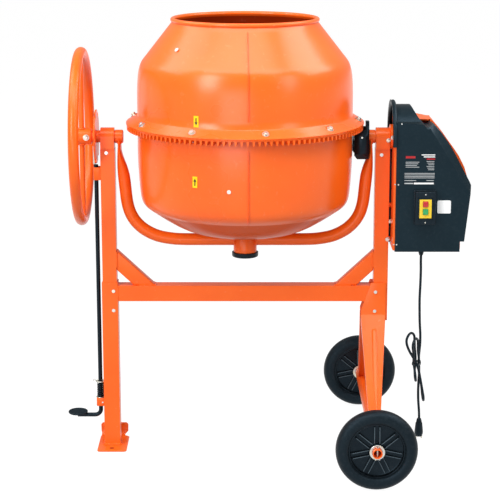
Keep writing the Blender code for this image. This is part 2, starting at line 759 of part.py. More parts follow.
def ring_gear():
    """Toothed ring bolted under the flange, teeth down."""
    top = flange_z - fit_gap / 2 - sheet - fit_gap
    root = gear_mesh() + tooth_root
    tip = gear_mesh() - tooth_top
    vertices, faces = [], []
    share = 2 * math.pi / ring_teeth
    rows = []
    for i in range(ring_teeth):
        middle = (i + 0.5) * share
        pitch = gear_pitch_radius * share
        tip_half = (pitch * 0.5 - backlash) / 2 - tooth_top * 0.32
        root_half = (pitch * 0.5 - backlash) / 2 + tooth_root * 0.34
        corners = ((-root_half, root), (-tip_half, tip), (tip_half, tip), (root_half, root))
        for offset, z in corners:
            angle = middle + offset / gear_pitch_radius
            row = []
            for radius, height in ((gear_inner_radius, z), (gear_outer_radius, z),
                                   (gear_outer_radius, top), (gear_inner_radius, top)):
                row.append(len(vertices))
                vertices.append((drum_x + radius * math.cos(angle), radius * math.sin(angle), height))
            rows.append(row)
    for row, following in zip(rows, rows[1:] + rows[:1]):
        for k in range(4):
            j = (k + 1) % 4
            faces.append((row[k], row[j], following[j], following[k]))
    make_object("ring_gear", mesh_from("ring_gear", vertices, faces), "powder_coat")


def blade(name, turn):
    """Bent mixing blade from the lower wall to the cone."""
    half, thick = 0.022, 0.003
    low_z, high_z = 0.794, 1.136
    low_wall = lower_inner_radius(low_z - half) - fit_gap
    cone = (shoulder_radius + (mouth_radius - shoulder_radius) * (high_z + half - shoulder_z)
            / (mouth_z - shoulder_z)) - sheet * 2
    ends = [math.sqrt(low_wall ** 2 - half ** 2) - 0.001, cone - 0.003]
    path = [(ends[0], 0, low_z), (ends[0] - 0.055, -6, low_z + 0.030), (0.205, -16, 0.90),
            (0.195, -26, 1.00), (ends[1] - 0.045, -34, high_z - 0.040), (ends[1], -38, high_z)]
    points = []
    for radius, angle, z in path:
        angle = math.radians(turn + angle)
        points.append(Vector((drum_x + radius * math.cos(angle), radius * math.sin(angle), z)))
    vertices, faces, last = [], [], None
    for i, point in enumerate(points):
        before, after = points[max(i - 1, 0)], points[min(i + 1, len(points) - 1)]
        tangent = (after - before).normalized()
        inward = (Vector((drum_x, 0, point.z)) - point).normalized()
        wide = tangent.cross(inward)
        wide = wide.normalized() if wide.length > 0.2 else wide
        if i in (0, len(points) - 1):
            angle = math.radians(turn + path[i][1])
            wide = Vector((-math.sin(angle), math.cos(angle), 0))
        wide = wide.normalized()
        if i and wide.dot(last) < 0:
            wide = -wide
        last = wide
        flat = tangent.cross(wide).normalized()
        for a, b in ((-1, -1), (1, -1), (1, 1), (-1, 1)):
            vertices.append(point + a * half * wide + b * thick * flat)
    for row in range(len(points) - 1):
        for k in range(4):
            j = (k + 1) % 4
            faces.append((4 * row + k, 4 * row + j, 4 * row + 4 + j, 4 * row + 4 + k))
    last_row = 4 * (len(points) - 1)
    faces += [(0, 1, 2, 3), (last_row, last_row + 1, last_row + 2, last_row + 3)]
    make_object(name, mesh_from(name, vertices, faces), "powder_coat")


def spindle():
    """Drum spindle with the flange bolted inside the bottom and a nut under the hub."""
    seat = bottom_z + sheet + fit_gap
    end = hub_bottom_z - 0.007
    profile = [(0, end), (spindle_radius, end), (spindle_radius, seat), (spindle_flange, seat),
               (spindle_flange, seat + 0.005), (spindle_radius * 1.6, seat + 0.007),
               (spindle_radius * 1.6, seat + 0.016), (0, seat + 0.016)]
    revolve("drum_spindle", profile, "Z", (drum_x, 0, 0), 32, "steel")


# ---------------------------------------------------------------- drive
def pinion():
    """Bevel pinion with its teeth in the ring's gaps at rest."""
    share = 2 * math.pi / pinion_teeth
    start, end = gear_inner_radius + 0.0015, gear_outer_radius - 0.001
    vertices, rows = [], []
    ratio = pinion_teeth / ring_teeth
    for along in (start, end):
        scale = along / gear_pitch_radius
        pitch_radius = gear_pitch_radius * ratio * scale
        thick = (gear_pitch_radius * 2 * math.pi / ring_teeth * 0.5 - backlash) * scale
        loop = []
        for i in range(pinion_teeth):
            middle = math.pi / 2 + i * share
            for radius, half in ((pitch_radius - pinion_root, thick / 2 * 1.45),
                                 (pitch_radius, thick / 2),
                                 (pitch_radius + tooth_top * pinion_tip_share, thick / 2 * 0.45)):
                loop.append((middle - half / radius, radius))
            for radius, half in ((pitch_radius + tooth_top * pinion_tip_share, thick / 2 * 0.45),
                                 (pitch_radius, thick / 2),
                                 (pitch_radius - pinion_root, thick / 2 * 1.45)):
                loop.append((middle + half / radius, radius))
        rows.append([(r * math.cos(a), trunnion_z + r * math.sin(a)) for a, r in loop])
    count = len(rows[0])
    for along, row in zip((start, end), rows):
        vertices += [(drum_x + along, y, z) for y, z in row]
        vertices += [(drum_x + along, y, z) for y, z in circle(shaft_radius + fit_gap, count,
                                                              (0, trunnion_z))]
    shift = round(count * 0.25 - 2.5)
    faces = []
    for k in range(count):
        j = (k + 1) % count
        faces.append((k, j, 2 * count + j, 2 * count + k))
        inner, inner_next = count + (k + shift) % count, count + (j + shift) % count
        faces.append((inner, inner_next, 2 * count + inner_next, 2 * count + inner))
        faces.append((k, j, inner_next, inner))
        faces.append((2 * count + k, 2 * count + j, 2 * count + inner_next, 2 * count + inner))
    make_object("pinion", mesh_from("pinion", vertices, faces), "cast_iron")


def drive_train():
    """Shaft through the hollow journal, its bush, both pulleys and the belt."""
    axis = (0, trunnion_z)
    pinion()
    rod("drive_shaft", "X", axis, shaft_radius, drum_x + gear_inner_radius - 0.002,
        drum_x + shaft_end, "steel", 32)
    ring("shaft_bush", "X", axis, journal_bore - fit_gap, shaft_radius + run_gap,
         drum_x + yoke_end_offset - 0.0105, drum_x + plate_offset - 0.002, "bronze", 32)

    low, high = drum_x + pulley_start, drum_x + pulley_start + pulley_width
    rim = 0.008
    web = 0.002
    middle = (low + high) / 2
    profile = [(shaft_radius + fit_gap, low), (shaft_radius + 0.008, low),
               (shaft_radius + 0.010, middle - web), (big_pulley_radius - rim, middle - web),
               (big_pulley_radius - rim + 0.002, low), (big_pulley_radius, low),
               (big_pulley_radius, high), (big_pulley_radius - rim + 0.002, high),
               (big_pulley_radius - rim, middle + web), (shaft_radius + 0.010, middle + web),
               (shaft_radius + 0.008, high), (shaft_radius + fit_gap, high)]
    revolve("large_pulley", profile, "X", (0, 0, trunnion_z), 30, "cast_iron")

    root = 0.006
    bore_end = drum_x + motor_start + 0.030
    profile = [(0, low), (small_pulley_radius, low), (small_pulley_radius, high), (root, high),
               (root, bore_end), (0, bore_end)]
    revolve("motor_pulley", profile, "X", (0, 0, motor_z), 24, "steel")

    def belt_line(offset):
        big, small = big_pulley_radius + offset, small_pulley_radius + offset
        lean = math.degrees(math.asin((big - small) / (trunnion_z - motor_z)))
        return (arc(big, -lean, 180 + lean, 28, (0, trunnion_z))
                + arc(small, 180 + lean, 360 - lean, 8, (0, motor_z)))

    gap = run_gap * 2
    belt = prism("drive_belt", belt_line(gap + belt_thickness), "X", low + 0.001, high - 0.001, "rubber")
    boolean(belt, prism("belt_inside", belt_line(gap), "X", low - 0.01, high + 0.01, "steel", cutters))


def motor():
    """Motor on a bracket that stands off the mounting plate."""
    start = drum_x + motor_start
    end = start + motor_length
    taper = 0.008
    profile = [(0, start), (motor_radius - taper, start), (motor_radius, start + taper),
               (motor_radius, end - taper), (motor_radius - taper, end), (0, end)]
    body = revolve("motor", profile, "X", (0, 0, motor_z), 28, "motor_paint")
    hole(body, "X", (0, motor_z), 0.0075, start - 0.01, start + 0.035)
    face = drum_x + plate_offset + plate_sheet + fit_gap
    leg = 0.006
    plate_low = start - fit_gap - 0.004
    side = 0.046
    bracket = box("motor_bracket", (plate_low, start - fit_gap), (-side - leg, side + leg),
                  (motor_z - 0.056, motor_z + side), "zinc")
    hole(bracket, "X", (0, motor_z), 0.020, plate_low - 0.01, start + 0.01)
    for y in (-side, side):
        strut = box("bracket_leg_%s" % ("front" if y < 0 else "rear"), (face, plate_low + 0.001),
                    (y - leg, y + leg), (motor_z - 0.056, motor_z - 0.030), "steel", cutters)
        boolean(bracket, strut, "UNION")


def mounting_plate():
    """Folded plate that carries the motor and both covers, stood off the post on bosses."""
    low = drum_x + plate_offset
    foot = low - plate_stand
    radius = housing_side - housing_wall - fit_gap
    bottom, top = housing_bottom_z + housing_wall + fit_gap, trunnion_z - 0.003
    outline = [(radius, bottom), (radius, top), (-radius, top), (-radius, bottom)]
    plate = prism("mounting_plate", outline, "X", low, low + plate_sheet, "powder_coat")
    boolean(plate, rod("plate_boss", "X", (0, trunnion_z), boss_radius, foot, low + plate_sheet, "steel",
                       40, cutters), "UNION")
    for k, z in enumerate((0.702, 0.606)):
        boolean(plate, rod("plate_spacer_%d" % k, "X", (0, z), spacer_radius, foot, low + 0.001, "steel",
                           20, cutters), "UNION")
    hole(plate, "X", (0, trunnion_z), journal_radius + 0.001, foot - 0.01, low + 0.02, 40)
    for side in (-1, 1):
        ys = sorted((side * radius, side * (radius - plate_sheet)))
        fold = box("plate_fold_%s" % ("front" if side < 0 else "rear"), (low + 0.001, low + plate_fold),
                   ys, (bottom, top), "steel", cutters)
        boolean(plate, fold, "UNION")


def cover_outline(grow):
    """The housing's front silhouette as (x, z), grown outward by a distance."""
    left = drum_x + cover_left
    return [(left, housing_bottom_z - grow), (drum_x + heel_offset + grow, housing_bottom_z - grow),
            (drum_x + heel_offset + grow, corner_z - grow), (drum_x + corner_offset + grow, corner_z - grow),
            (drum_x + slope_end + min(grow, 0), slope_z + grow * 0.3),
            (drum_x + shelf_end + grow * 0.6, shelf_z + grow), (left, shelf_z + grow)]


def hump_outline(grow):
    """Silhouette of the round hump over the large pulley."""
    start, foot = drum_x + cover_left, drum_x + hump_end + hump_foot + grow
    top = trunnion_z + housing_radius + grow
    end = hump_end + min(grow, 0)
    curve = arc(hump_crown, 90, 20, 5, (drum_x + end - hump_crown, top - hump_crown))
    return [(start, trunnion_z - 0.04), (start, top)] + curve + [
        (foot, shelf_z + grow - 0.002), (foot, trunnion_z - 0.04)]


def open_left(outline):
    """An outline drawn out past the housing's open left end."""
    return [(x - (0.02 if x <= drum_x + cover_left else 0), z) for x, z in outline]


def half_shell(name, side, grow, finish):
    """One half of the housing as a solid that follows the outline."""
    near, far = side * fit_gap, side * (housing_side + grow)
    shell = prism(name, cover_outline(grow), "Y", *sorted((near, far)), finish)
    edge_cut(shell, side, far, grow)
    return shell


def hollow(shell, side, grow, reach):
    """Empty a half of the housing from its open side, leaving the wall."""
    inner = grow - housing_wall
    far = side * (housing_side + inner)
    cavity = prism(shell.name + "_cavity", open_left(cover_outline(inner)), "Y", *sorted((reach, far)),
                   "steel", cutters)
    edge_cut(cavity, side, far, inner)
    boolean(shell, cavity)


def hump(name, outline, limit):
    """The hump's silhouette drawn front to back and cut to a section of (y, z)."""
    body = prism(name, outline, "Y", -housing_side * 1.2, housing_side * 1.2, "steel", cutters)
    xs = [x for x, _ in outline]
    boolean(body, prism(name + "_round", limit, "X", min(xs) - 0.01, max(xs) + 0.01, "steel", cutters),
            "INTERSECT")
    return body


def front_cover():
    """Black front half with the whole hump, whose rear sits on the rear cover's top."""
    shell = half_shell("front_cover", -1, 0.0, "black_plastic")
    low, seat = trunnion_z - 0.05, shelf_z + rear_overhang + fit_gap
    last = math.degrees(math.asin((seat - trunnion_z) / housing_radius))
    section = [(-housing_radius, low)] + arc(housing_radius, 180, last, 28, (0, trunnion_z)) + [
        (-fit_gap, seat), (-fit_gap, low)]
    boolean(shell, hump("hump_outside", hump_outline(0), section), "UNION")
    lip_start = drum_x + cover_left - lip_depth
    lip = revolve("hump_lip", [(housing_lip - 0.0025, lip_start), (housing_lip, lip_start),
                               (housing_radius + 0.0005, lip_start + lip_depth + 0.002),
                               (housing_radius - 0.002, lip_start + lip_depth + 0.002)],
                  "X", (0, 0, trunnion_z), 48, "steel", cutters)
    above = box("lip_half", (lip_start - 0.01, lip_start + 0.03), (-0.15, 0.15),
                (trunnion_z, trunnion_z + 0.15), "steel", cutters)
    boolean(lip, above, "INTERSECT")
    behind = box("lip_rear", (drum_x + cover_left - 0.001, lip_start + 0.03), (-fit_gap, 0.15),
                 (trunnion_z - 0.01, seat), "steel", cutters)
    boolean(lip, behind)
    boolean(shell, lip, "UNION")
    hollow(shell, -1, 0.0, 0.02)
    inner = housing_radius - housing_wall
    section = [(-inner, low)] + arc(inner, 180, 0, 32, (0, trunnion_z)) + [(inner, low)]
    boolean(shell, hump("hump_inside", open_left(hump_outline(-housing_wall)), section))


def rear_cover():
    """Orange rear half over the motor, a little outside the front cover, open under the hump."""
    shell = half_shell("rear_cover", 1, rear_overhang, "powder_coat")
    rim = fit_gap + housing_wall
    throat = prism("rear_throat", open_left(cover_outline(-housing_wall)), "Y", -0.02, rim * 2,
                   "steel", cutters)
    boolean(shell, throat)
    hollow(shell, 1, rear_overhang, rim)
    slot = box("hump_slot", (drum_x + cover_left - 0.01, drum_x + hump_end + 0.010),
               (-0.02, hump_slot_depth), (shelf_z - 0.02, shelf_z + 0.03), "steel", cutters)
    boolean(shell, slot)


def edge_cut(body, side, far, grow):
    """Chamfer along the shelf and the slope of the housing's outer face."""
    a = Vector((drum_x + shelf_end + grow * 0.6, shelf_z + grow))
    b = Vector((drum_x + slope_end + min(grow, 0), slope_z + grow * 0.3))
    along = (b - a).normalized()
    normal = Vector((-along.y, along.x))
    if normal.x < 0:
        normal = -normal
    start, end = a - along * 0.05, b + along * 0.05
    vertices, faces = [], [(0, 1, 2), (3, 5, 4), (0, 3, 4, 1), (1, 4, 5, 2), (2, 5, 3, 0)]
    for point in (start, end):
        for shift, y in ((-housing_chamfer, far), (0.02, far - side * (housing_chamfer + 0.02)),
                         (0.02, far + side * 0.02)):
            spot = point + normal * shift
            vertices.append((spot.x, y, spot.y))
    wedge = make_object(body.name + "_edge", mesh_from(body.name + "_edge", vertices, faces),
                        "steel", cutters)
    boolean(body, wedge)


def pinion_guard():
    """Folded guard round the pinion, fixed to the yoke's right arm."""
    start, end = drum_x + guard_start, drum_x + guard_end
    tip = gear_mesh() - tooth_top
    top = tip - guard_top_drop
    guard = box("pinion_guard", (start, end), (-guard_side, guard_side), (guard_bottom_z, top),
                "black_paint")
    inner_end = end - sheet
    boolean(guard, box("guard_inside", (start - 0.02, inner_end), (-guard_side + sheet, guard_side - sheet),
                       (guard_bottom_z + sheet, top + 0.01), "steel", cutters))
    wedge = [(start - 0.01, guard_bottom_z - 0.01), (start + guard_chamfer, guard_bottom_z - 0.01),
             (start - 0.01, guard_bottom_z + guard_chamfer * 1.6)]
    boolean(guard, prism("guard_corner", wedge, "Y", -guard_side * 1.1, guard_side * 1.1, "steel", cutters))
    ear_low, ear_high = top - 0.006, flange_z + 0.006
    ear_start = drum_x + flange_radius + 0.0035
    ear = box("guard_ear", (ear_start, end), (-guard_side, -guard_side + 0.030), (ear_low, ear_high),
              "steel", cutters)
    boolean(guard, ear, "UNION")
    hole(guard, "X", (0, trunnion_z), journal_radius + 0.0012, inner_end - 0.005, end + 0.01, 32)


# ---------------------------------------------------------------- switch and cable
def switch():
    """Switch box on the front cover with its plate and two buttons."""
    x = drum_x + switch_offset
    front = -housing_side - fit_gap
    face = front - switch_depth
    half_w, half_h = switch_width / 2, switch_height / 2
    body = box("switch_box", (x - half_w, x + half_w), (face, front),
               (switch_z - half_h, switch_z + half_h), "black_plastic")
    plate_face = face - fit_gap
    thick = 0.002
    plate = box("switch_plate", (x - plate_width / 2, x + plate_width / 2),
                (plate_face - thick, plate_face),
                (switch_z - 0.001 - plate_height / 2, switch_z - 0.001 + plate_height / 2),
                "yellow_plastic")
    pocket = button_travel + 0.003
    for name, z, finish in (("red_button", red_button_z, "red_plastic"),
                            ("green_button", green_button_z, "green_plastic")):
        wide, tall = button_width / 2, button_height / 2
        gap = 0.0004
        well = box(name + "_well", (x - wide - gap, x + wide + gap), (plate_face - 0.01, face + pocket),
                   (z - tall - gap, z + tall + gap), "steel", cutters)
        boolean(body, well)
        boolean(plate, well)
        back = face + pocket - button_travel - 0.0006
        box(name, (x - wide, x + wide), (plate_face - thick - button_stand, back),
            (z - tall, z + tall), finish)


def smooth(points, steps):
    """A Catmull-Rom line through hand-chosen points."""
    line = []
    padded = [points[0] * 2 - points[1]] + points + [points[-1] * 2 - points[-2]]
    for a, b, c, d in zip(padded, padded[1:], padded[2:], padded[3:]):
        for i in range(steps):
            t = i / steps
            line.append(0.5 * (2 * b + (c - a) * t + (2 * a - 5 * b + 4 * c - d) * t ** 2
                               + (3 * b - a - 3 * c + d) * t ** 3))
    return line + [points[-1]]


def tie_outline(route, clear):
    """Line drawn tight round all the cord's strands at the tie's height."""
    spots = []
    for z in (tie_z - tie_width / 2, tie_z, tie_z + tie_width / 2):
        for a, b in zip(route, route[1:]):
            if (a.z - z) * (b.z - z) < 0:
                strand = a.lerp(b, (z - a.z) / (b.z - a.z))
                spots += circle(cord_radius * 1.08 + clear, 12, (strand.x, strand.y))
    return [spots[i] for i in convex_hull_2d(spots)]


def cable():
    """Gland, power cord with its folded hank and tie, and the plug."""
    x, y = drum_x + gland_offset, gland_y
    top = housing_bottom_z - fit_gap
    nose = cord_radius + 0.002
    profile = [(0, top), (gland_radius, top), (gland_radius, top - gland_length * 0.4),
               (nose, top - gland_length), (0, top - gland_length)]
    revolve("cord_gland", profile, "Z", (x, y, 0), 20, "black_plastic")
    route = [Vector((0, 0, top - gland_length - fit_gap))] + [Vector(point) for point in CORD_POINTS]
    route = [point + Vector((x, y, 0)) for point in route]
    sweep("power_cord", smooth(route, 2), cord_radius, 5, "rubber")

    inside, outside = tie_outline(route, fit_gap), tie_outline(route, fit_gap + tie_sheet)
    tie = prism("cord_tie", outside, "Z", tie_z - tie_width / 2, tie_z + tie_width / 2, "black_plastic")
    boolean(tie, prism("tie_inside", inside, "Z", tie_z - tie_width, tie_z + tie_width, "steel", cutters))

    end = route[-1]
    high = end.z - fit_gap
    profile = [(0, high), (nose, high), (nose + 0.002, high - 0.014),
               (plug_radius * 0.8, high - 0.020), (plug_radius, high - 0.028),
               (plug_radius, high - plug_length + 0.006), (plug_radius * 0.7, high - plug_length),
               (0, high - plug_length)]
    revolve("plug", profile, "Z", (end.x, end.y, 0), 24, "rubber")


# the power cord from under the gland to the plug: a straight drop, then a hank of two
# upper and two lower folds held by the tie, then the tail; x and y from the gland's middle
CORD_POINTS = [
    (0.0000, 0.0000, 0.5450), (0.0005, -0.0010, 0.5200), (0.0000, -0.0010, 0.4800),
    (-0.0010, 0.0000, 0.4400), (0.0000, 0.0030, 0.4000), (0.0020, 0.0100, 0.3650),
    (0.0050, 0.0180, 0.3300), (0.0055, 0.0220, 0.3000), (0.0030, 0.0200, 0.2700),
    (0.0020, 0.0160, 0.2450), (0.0030, 0.0180, 0.2220), (0.0070, 0.0210, 0.2000),
    (0.0115, 0.0225, 0.1780), (0.0135, 0.0215, 0.1620), (0.0145, 0.0185, 0.1515),
    (0.0153, 0.0105, 0.1438), (0.0155, 0.0000, 0.1410), (0.0153, -0.0105, 0.1438),
    (0.0145, -0.0185, 0.1515), (0.0130, -0.0215, 0.1620), (0.0095, -0.0220, 0.1800),
    (0.0040, -0.0185, 0.2100), (-0.0020, -0.0170, 0.2380), (-0.0130, -0.0185, 0.2640),
    (-0.0280, -0.0215, 0.2900), (-0.0360, -0.0220, 0.3100), (-0.0370, -0.0195, 0.3240),
    (-0.0315, -0.0130, 0.3350), (-0.0245, -0.0045, 0.3390), (-0.0180, 0.0040, 0.3360),
    (-0.0130, 0.0105, 0.3280), (-0.0115, 0.0130, 0.3140), (-0.0105, 0.0120, 0.2920),
    (-0.0085, 0.0080, 0.2700), (-0.0080, 0.0085, 0.2520), (-0.0085, 0.0160, 0.2340),
    (-0.0083, 0.0210, 0.2200), (-0.0080, 0.0183, 0.2095), (-0.0077, 0.0105, 0.2018),
    (-0.0075, 0.0000, 0.1990), (-0.0080, -0.0105, 0.2018), (-0.0093, -0.0183, 0.2095),
    (-0.0105, -0.0208, 0.2200), (-0.0125, -0.0140, 0.2360), (-0.0145, -0.0065, 0.2520),
    (-0.0148, -0.0050, 0.2680), (-0.0165, -0.0115, 0.2840), (-0.0190, -0.0195, 0.3000),
    (-0.0185, -0.0180, 0.3110), (-0.0150, -0.0120, 0.3190), (-0.0100, -0.0025, 0.3225),
    (-0.0050, 0.0070, 0.3190), (-0.0017, 0.0135, 0.3110), (-0.0012, 0.0150, 0.3000),
    (-0.0010, 0.0110, 0.2820), (0.0010, 0.0030, 0.2640), (0.0015, -0.0020, 0.2450),
    (0.0020, -0.0020, 0.2200), (0.0010, -0.0020, 0.1950), (0.0005, -0.0020, 0.1700),
    (0.0015, -0.0010, 0.1400), (0.0040, 0.0000, 0.1120), (0.0050, 0.0000, 0.0940),
    (0.0050, 0.0000, 0.0860),
]


def build():
    left_stand()
    right_stand()
    crossbar()
    brace("left_brace", -1)
    brace("right_brace", 1)
    wheel_leg("front_wheel_leg", -1)
    wheel_leg("rear_wheel_leg", 1)
    axle()
    road_wheel("front_wheel", -1)
    road_wheel("rear_wheel", 1)
    trunnion_block("left_trunnion_block", -1)
    trunnion_block("right_trunnion_block", 1)
    rod_bracket("upper_rod_bracket", upper_bracket_z)
    rod_bracket("lower_rod_bracket", lower_bracket_z)
    pedal()
    yoke()
    yoke_hub()
    journals()
    handwheel()
    drum_lower()
    drum_upper()
    ring_gear()
    blade("mixing_blade_front", -98)
    blade("mixing_blade_rear", 82)
    spindle()
    drive_train()
    motor()
    mounting_plate()
    front_cover()
    rear_cover()
    pinion_guard()
    switch()
    cable()


build()
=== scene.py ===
import math
import random

import bmesh
import bpy
from mathutils import Matrix, Vector


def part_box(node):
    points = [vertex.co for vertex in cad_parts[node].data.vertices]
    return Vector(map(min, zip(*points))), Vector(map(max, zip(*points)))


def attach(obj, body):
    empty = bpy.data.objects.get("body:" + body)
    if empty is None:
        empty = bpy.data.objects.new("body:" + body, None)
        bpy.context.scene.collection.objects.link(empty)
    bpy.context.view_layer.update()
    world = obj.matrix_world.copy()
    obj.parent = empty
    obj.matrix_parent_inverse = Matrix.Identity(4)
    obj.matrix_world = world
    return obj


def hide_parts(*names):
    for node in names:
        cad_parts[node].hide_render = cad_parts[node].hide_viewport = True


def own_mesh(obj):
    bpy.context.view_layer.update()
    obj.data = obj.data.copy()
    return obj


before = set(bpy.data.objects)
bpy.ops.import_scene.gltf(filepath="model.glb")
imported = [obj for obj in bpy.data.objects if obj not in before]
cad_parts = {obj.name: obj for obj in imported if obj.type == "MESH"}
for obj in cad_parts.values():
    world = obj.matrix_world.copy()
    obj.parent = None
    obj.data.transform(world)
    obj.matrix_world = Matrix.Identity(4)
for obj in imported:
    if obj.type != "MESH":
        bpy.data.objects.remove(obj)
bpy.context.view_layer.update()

# ------------------------------------------------------------------ studio floor
# A seamless sheet of matt white paper laid over the ground. It is pale enough to
# run into the white behind the mixer, and it still takes the mixer's soft shadow.


def colour(code):
    """An sRGB hex code as a linear colour."""
    parts = [int(code[i:i + 2], 16) / 255 for i in (1, 3, 5)]
    return [p / 12.92 if p <= 0.04045 else ((p + 0.055) / 1.055) ** 2.4 for p in parts] + [1.0]


def add(tree, kind, sockets=None, **settings):
    """Add one node: its settings, then its sockets' values or links."""
    made = tree.nodes.new("ShaderNode" + kind)
    for name, value in settings.items():
        setattr(made, name, value)
    for socket, value in (sockets or {}).items():
        if isinstance(value, bpy.types.NodeSocket):
            tree.links.new(value, made.inputs[socket])
        else:
            made.inputs[socket].default_value = value
    return made


def start_material(name):
    """A new node material with nothing in it yet, and its tree."""
    material = bpy.data.materials.new(name)
    material.use_nodes = True
    material.node_tree.nodes.clear()
    return material, material.node_tree


def paper_white():
    """Matt white paper: no gloss, white to the eye, darker only in the shadow."""
    material, tree = start_material("white_floor_paper")
    seen = add(tree, "LightPath")
    direct = add(tree, "Math", {0: seen.outputs["Is Camera Ray"], 1: seen.outputs["Is Glossy Ray"]},
                 operation="MAXIMUM")
    direct = add(tree, "Math", {0: direct.outputs[0], 1: seen.outputs["Is Transmission Ray"]},
                 operation="MAXIMUM")
    share = add(tree, "Math", {0: direct.outputs[0], 1: 0.86}, operation="MULTIPLY")
    tint = add(tree, "Mix", {0: direct.outputs[0], 6: colour("#8e8e8e"), 7: colour("#f4f4f4")},
               data_type="RGBA")
    matt = add(tree, "BsdfDiffuse", {"Color": tint.outputs[2]})
    glow = add(tree, "Emission", {"Color": (1, 1, 1, 1), "Strength": 1.10})
    both = add(tree, "MixShader", {0: share.outputs[0], 1: matt.outputs[0], 2: glow.outputs[0]})
    add(tree, "OutputMaterial", {"Surface": both.outputs[0]})
    return material


def finished(name, shape, *materials, smooth=35):
    """Turn a bmesh into an object at the origin, shaded smooth up to an edge angle."""
    bmesh.ops.remove_doubles(shape, verts=shape.verts, dist=1e-6)
    mesh = bpy.data.meshes.new(name)
    shape.to_mesh(mesh)
    shape.free()
    mesh.shade_smooth()
    mesh.set_sharp_from_angle(angle=math.radians(smooth))
    made = bpy.data.objects.new(name, mesh)
    bpy.context.scene.collection.objects.link(made)
    for material in materials:
        mesh.materials.append(material)
    return made


paper = bmesh.new()
bmesh.ops.create_circle(paper, cap_ends=True, segments=64, radius=34.0)
bmesh.ops.translate(paper, verts=paper.verts, vec=(0, 0, -0.0015))
finished("studio_floor", paper, paper_white())

# ------------------------------------------------------------------ studio light
# Two tall soft boxes and a low wide one stand in front, three more hang overhead, and
# the room itself is evenly pale. It looks white to the eye and through anything clear.
world = bpy.data.worlds.new("white_room")
bpy.context.scene.world = world
world.use_nodes = True
room = world.node_tree
room.nodes.clear()
seen = add(room, "LightPath")
direct = add(room, "Math", {0: seen.outputs["Is Camera Ray"], 1: seen.outputs["Is Transmission Ray"]},
             operation="MAXIMUM")
even = add(room, "Background", {"Color": (1, 1, 1, 1), "Strength": 0.40})
white = add(room, "Background", {"Color": (1, 1, 1, 1), "Strength": 1.0})
both = add(room, "MixShader", {0: direct.outputs[0], 1: even.outputs[0], 2: white.outputs[0]})
add(room, "OutputWorld", {"Surface": both.outputs[0]})

for name, spot, aim, wide, tall, watts in (
        ("soft_box_left", (-2.3, -2.9, 2.3), (0, 0, 0.8), 1.2, 2.2, 84),
        ("soft_box_right", (2.5, -2.4, 2.1), (0, 0, 0.8), 0.9, 1.8, 22),
        ("soft_box_front", (-0.9, -4.4, 0.7), (-0.1, 0, 0.6), 2.2, 1.2, 30),
        ("soft_box_top", (-0.1, -1.30, 3.3), (0, 0, 0.95), 3.4, 1.2, 62),
        ("soft_box_high_left", (-2.1, 0.05, 2.85), (-0.2, -0.1, 1.1), 1.8, 1.8, 36),
        ("soft_box_high_right", (2.1, 0.05, 2.85), (0.2, -0.1, 1.1), 1.8, 1.8, 52)):
    lamp = bpy.data.lights.new(name, "AREA")
    lamp.shape, lamp.size, lamp.size_y, lamp.energy = "RECTANGLE", wide, tall, watts
    holder = bpy.data.objects.new(name, lamp)
    holder.location = spot
    holder.rotation_euler = (Vector(aim) - Vector(spot)).to_track_quat("-Z", "Y").to_euler()
    bpy.context.scene.collection.objects.link(holder)

# ------------------------------------------------------------------ camera
# A long lens at chest height, square on to the working side and tipped down a little.
lens = bpy.data.cameras.new("front_camera")
lens.lens, lens.sensor_width = 121.65, 36.0
camera = bpy.data.objects.new("front_camera", lens)
camera.location = (-0.04255, -4.6363, 1.6219)
camera.rotation_euler = (math.radians(77.243), 0, 0)
bpy.context.scene.collection.objects.link(camera)
bpy.context.scene.camera = camera
bpy.context.scene.view_settings.view_transform = "Standard"

# ------------------------------------------------------------------ stand tubes
# Cold-drawn square steel tube with rounded corners: two posts, the left post's sleeve,
# the cross bar and its corner braces. All are cut, welded and powder coated together.


def powder_coat(name="orange_powder_coat", tone="#f45d12", light="#fb6b1e"):
    """Baked polyester powder on steel: even orange with a soft gloss, an orange-peel
    ripple about 3 mm across and thin paler scuffs."""
    material, tree = start_material(name)
    place = add(tree, "TexCoord").outputs["Object"]
    cloud = add(tree, "TexNoise", {"Vector": place, "Scale": 7.0, "Detail": 3.0})
    fine = add(tree, "TexNoise", {"Vector": place, "Scale": 95.0, "Detail": 4.0})
    shift = add(tree, "MapRange", {"Value": cloud.outputs["Fac"], "From Min": 0.2, "From Max": 0.8})
    base = add(tree, "Mix", {0: shift.outputs[0], 6: colour(tone), 7: colour(light)}, data_type="RGBA")
    scuff = add(tree, "MapRange", {"Value": fine.outputs["Fac"], "From Min": 0.66, "From Max": 0.76,
                                   "To Max": 0.13})
    base = add(tree, "Mix", {0: scuff.outputs[0], 6: base.outputs[2], 7: colour("#f6b091")},
               data_type="RGBA")
    rough = add(tree, "MapRange", {"Value": cloud.outputs["Fac"], "To Min": 0.24, "To Max": 0.38})
    peel = add(tree, "TexNoise", {"Vector": place, "Scale": 330.0, "Detail": 1.5})
    bump = add(tree, "Bump", {"Height": peel.outputs["Fac"], "Strength": 0.10, "Distance": 0.0005})
    coat = add(tree, "BsdfPrincipled", {"Base Color": base.outputs[2], "Roughness": rough.outputs[0],
                                        "IOR": 1.45, "Coat Weight": 0.1, "Coat Roughness": 0.22,
                                        "Specular Tint": colour("#ffe0cf"),
                                        "Normal": bump.outputs[0]})
    add(tree, "OutputMaterial", {"Surface": coat.outputs[0]})
    return material


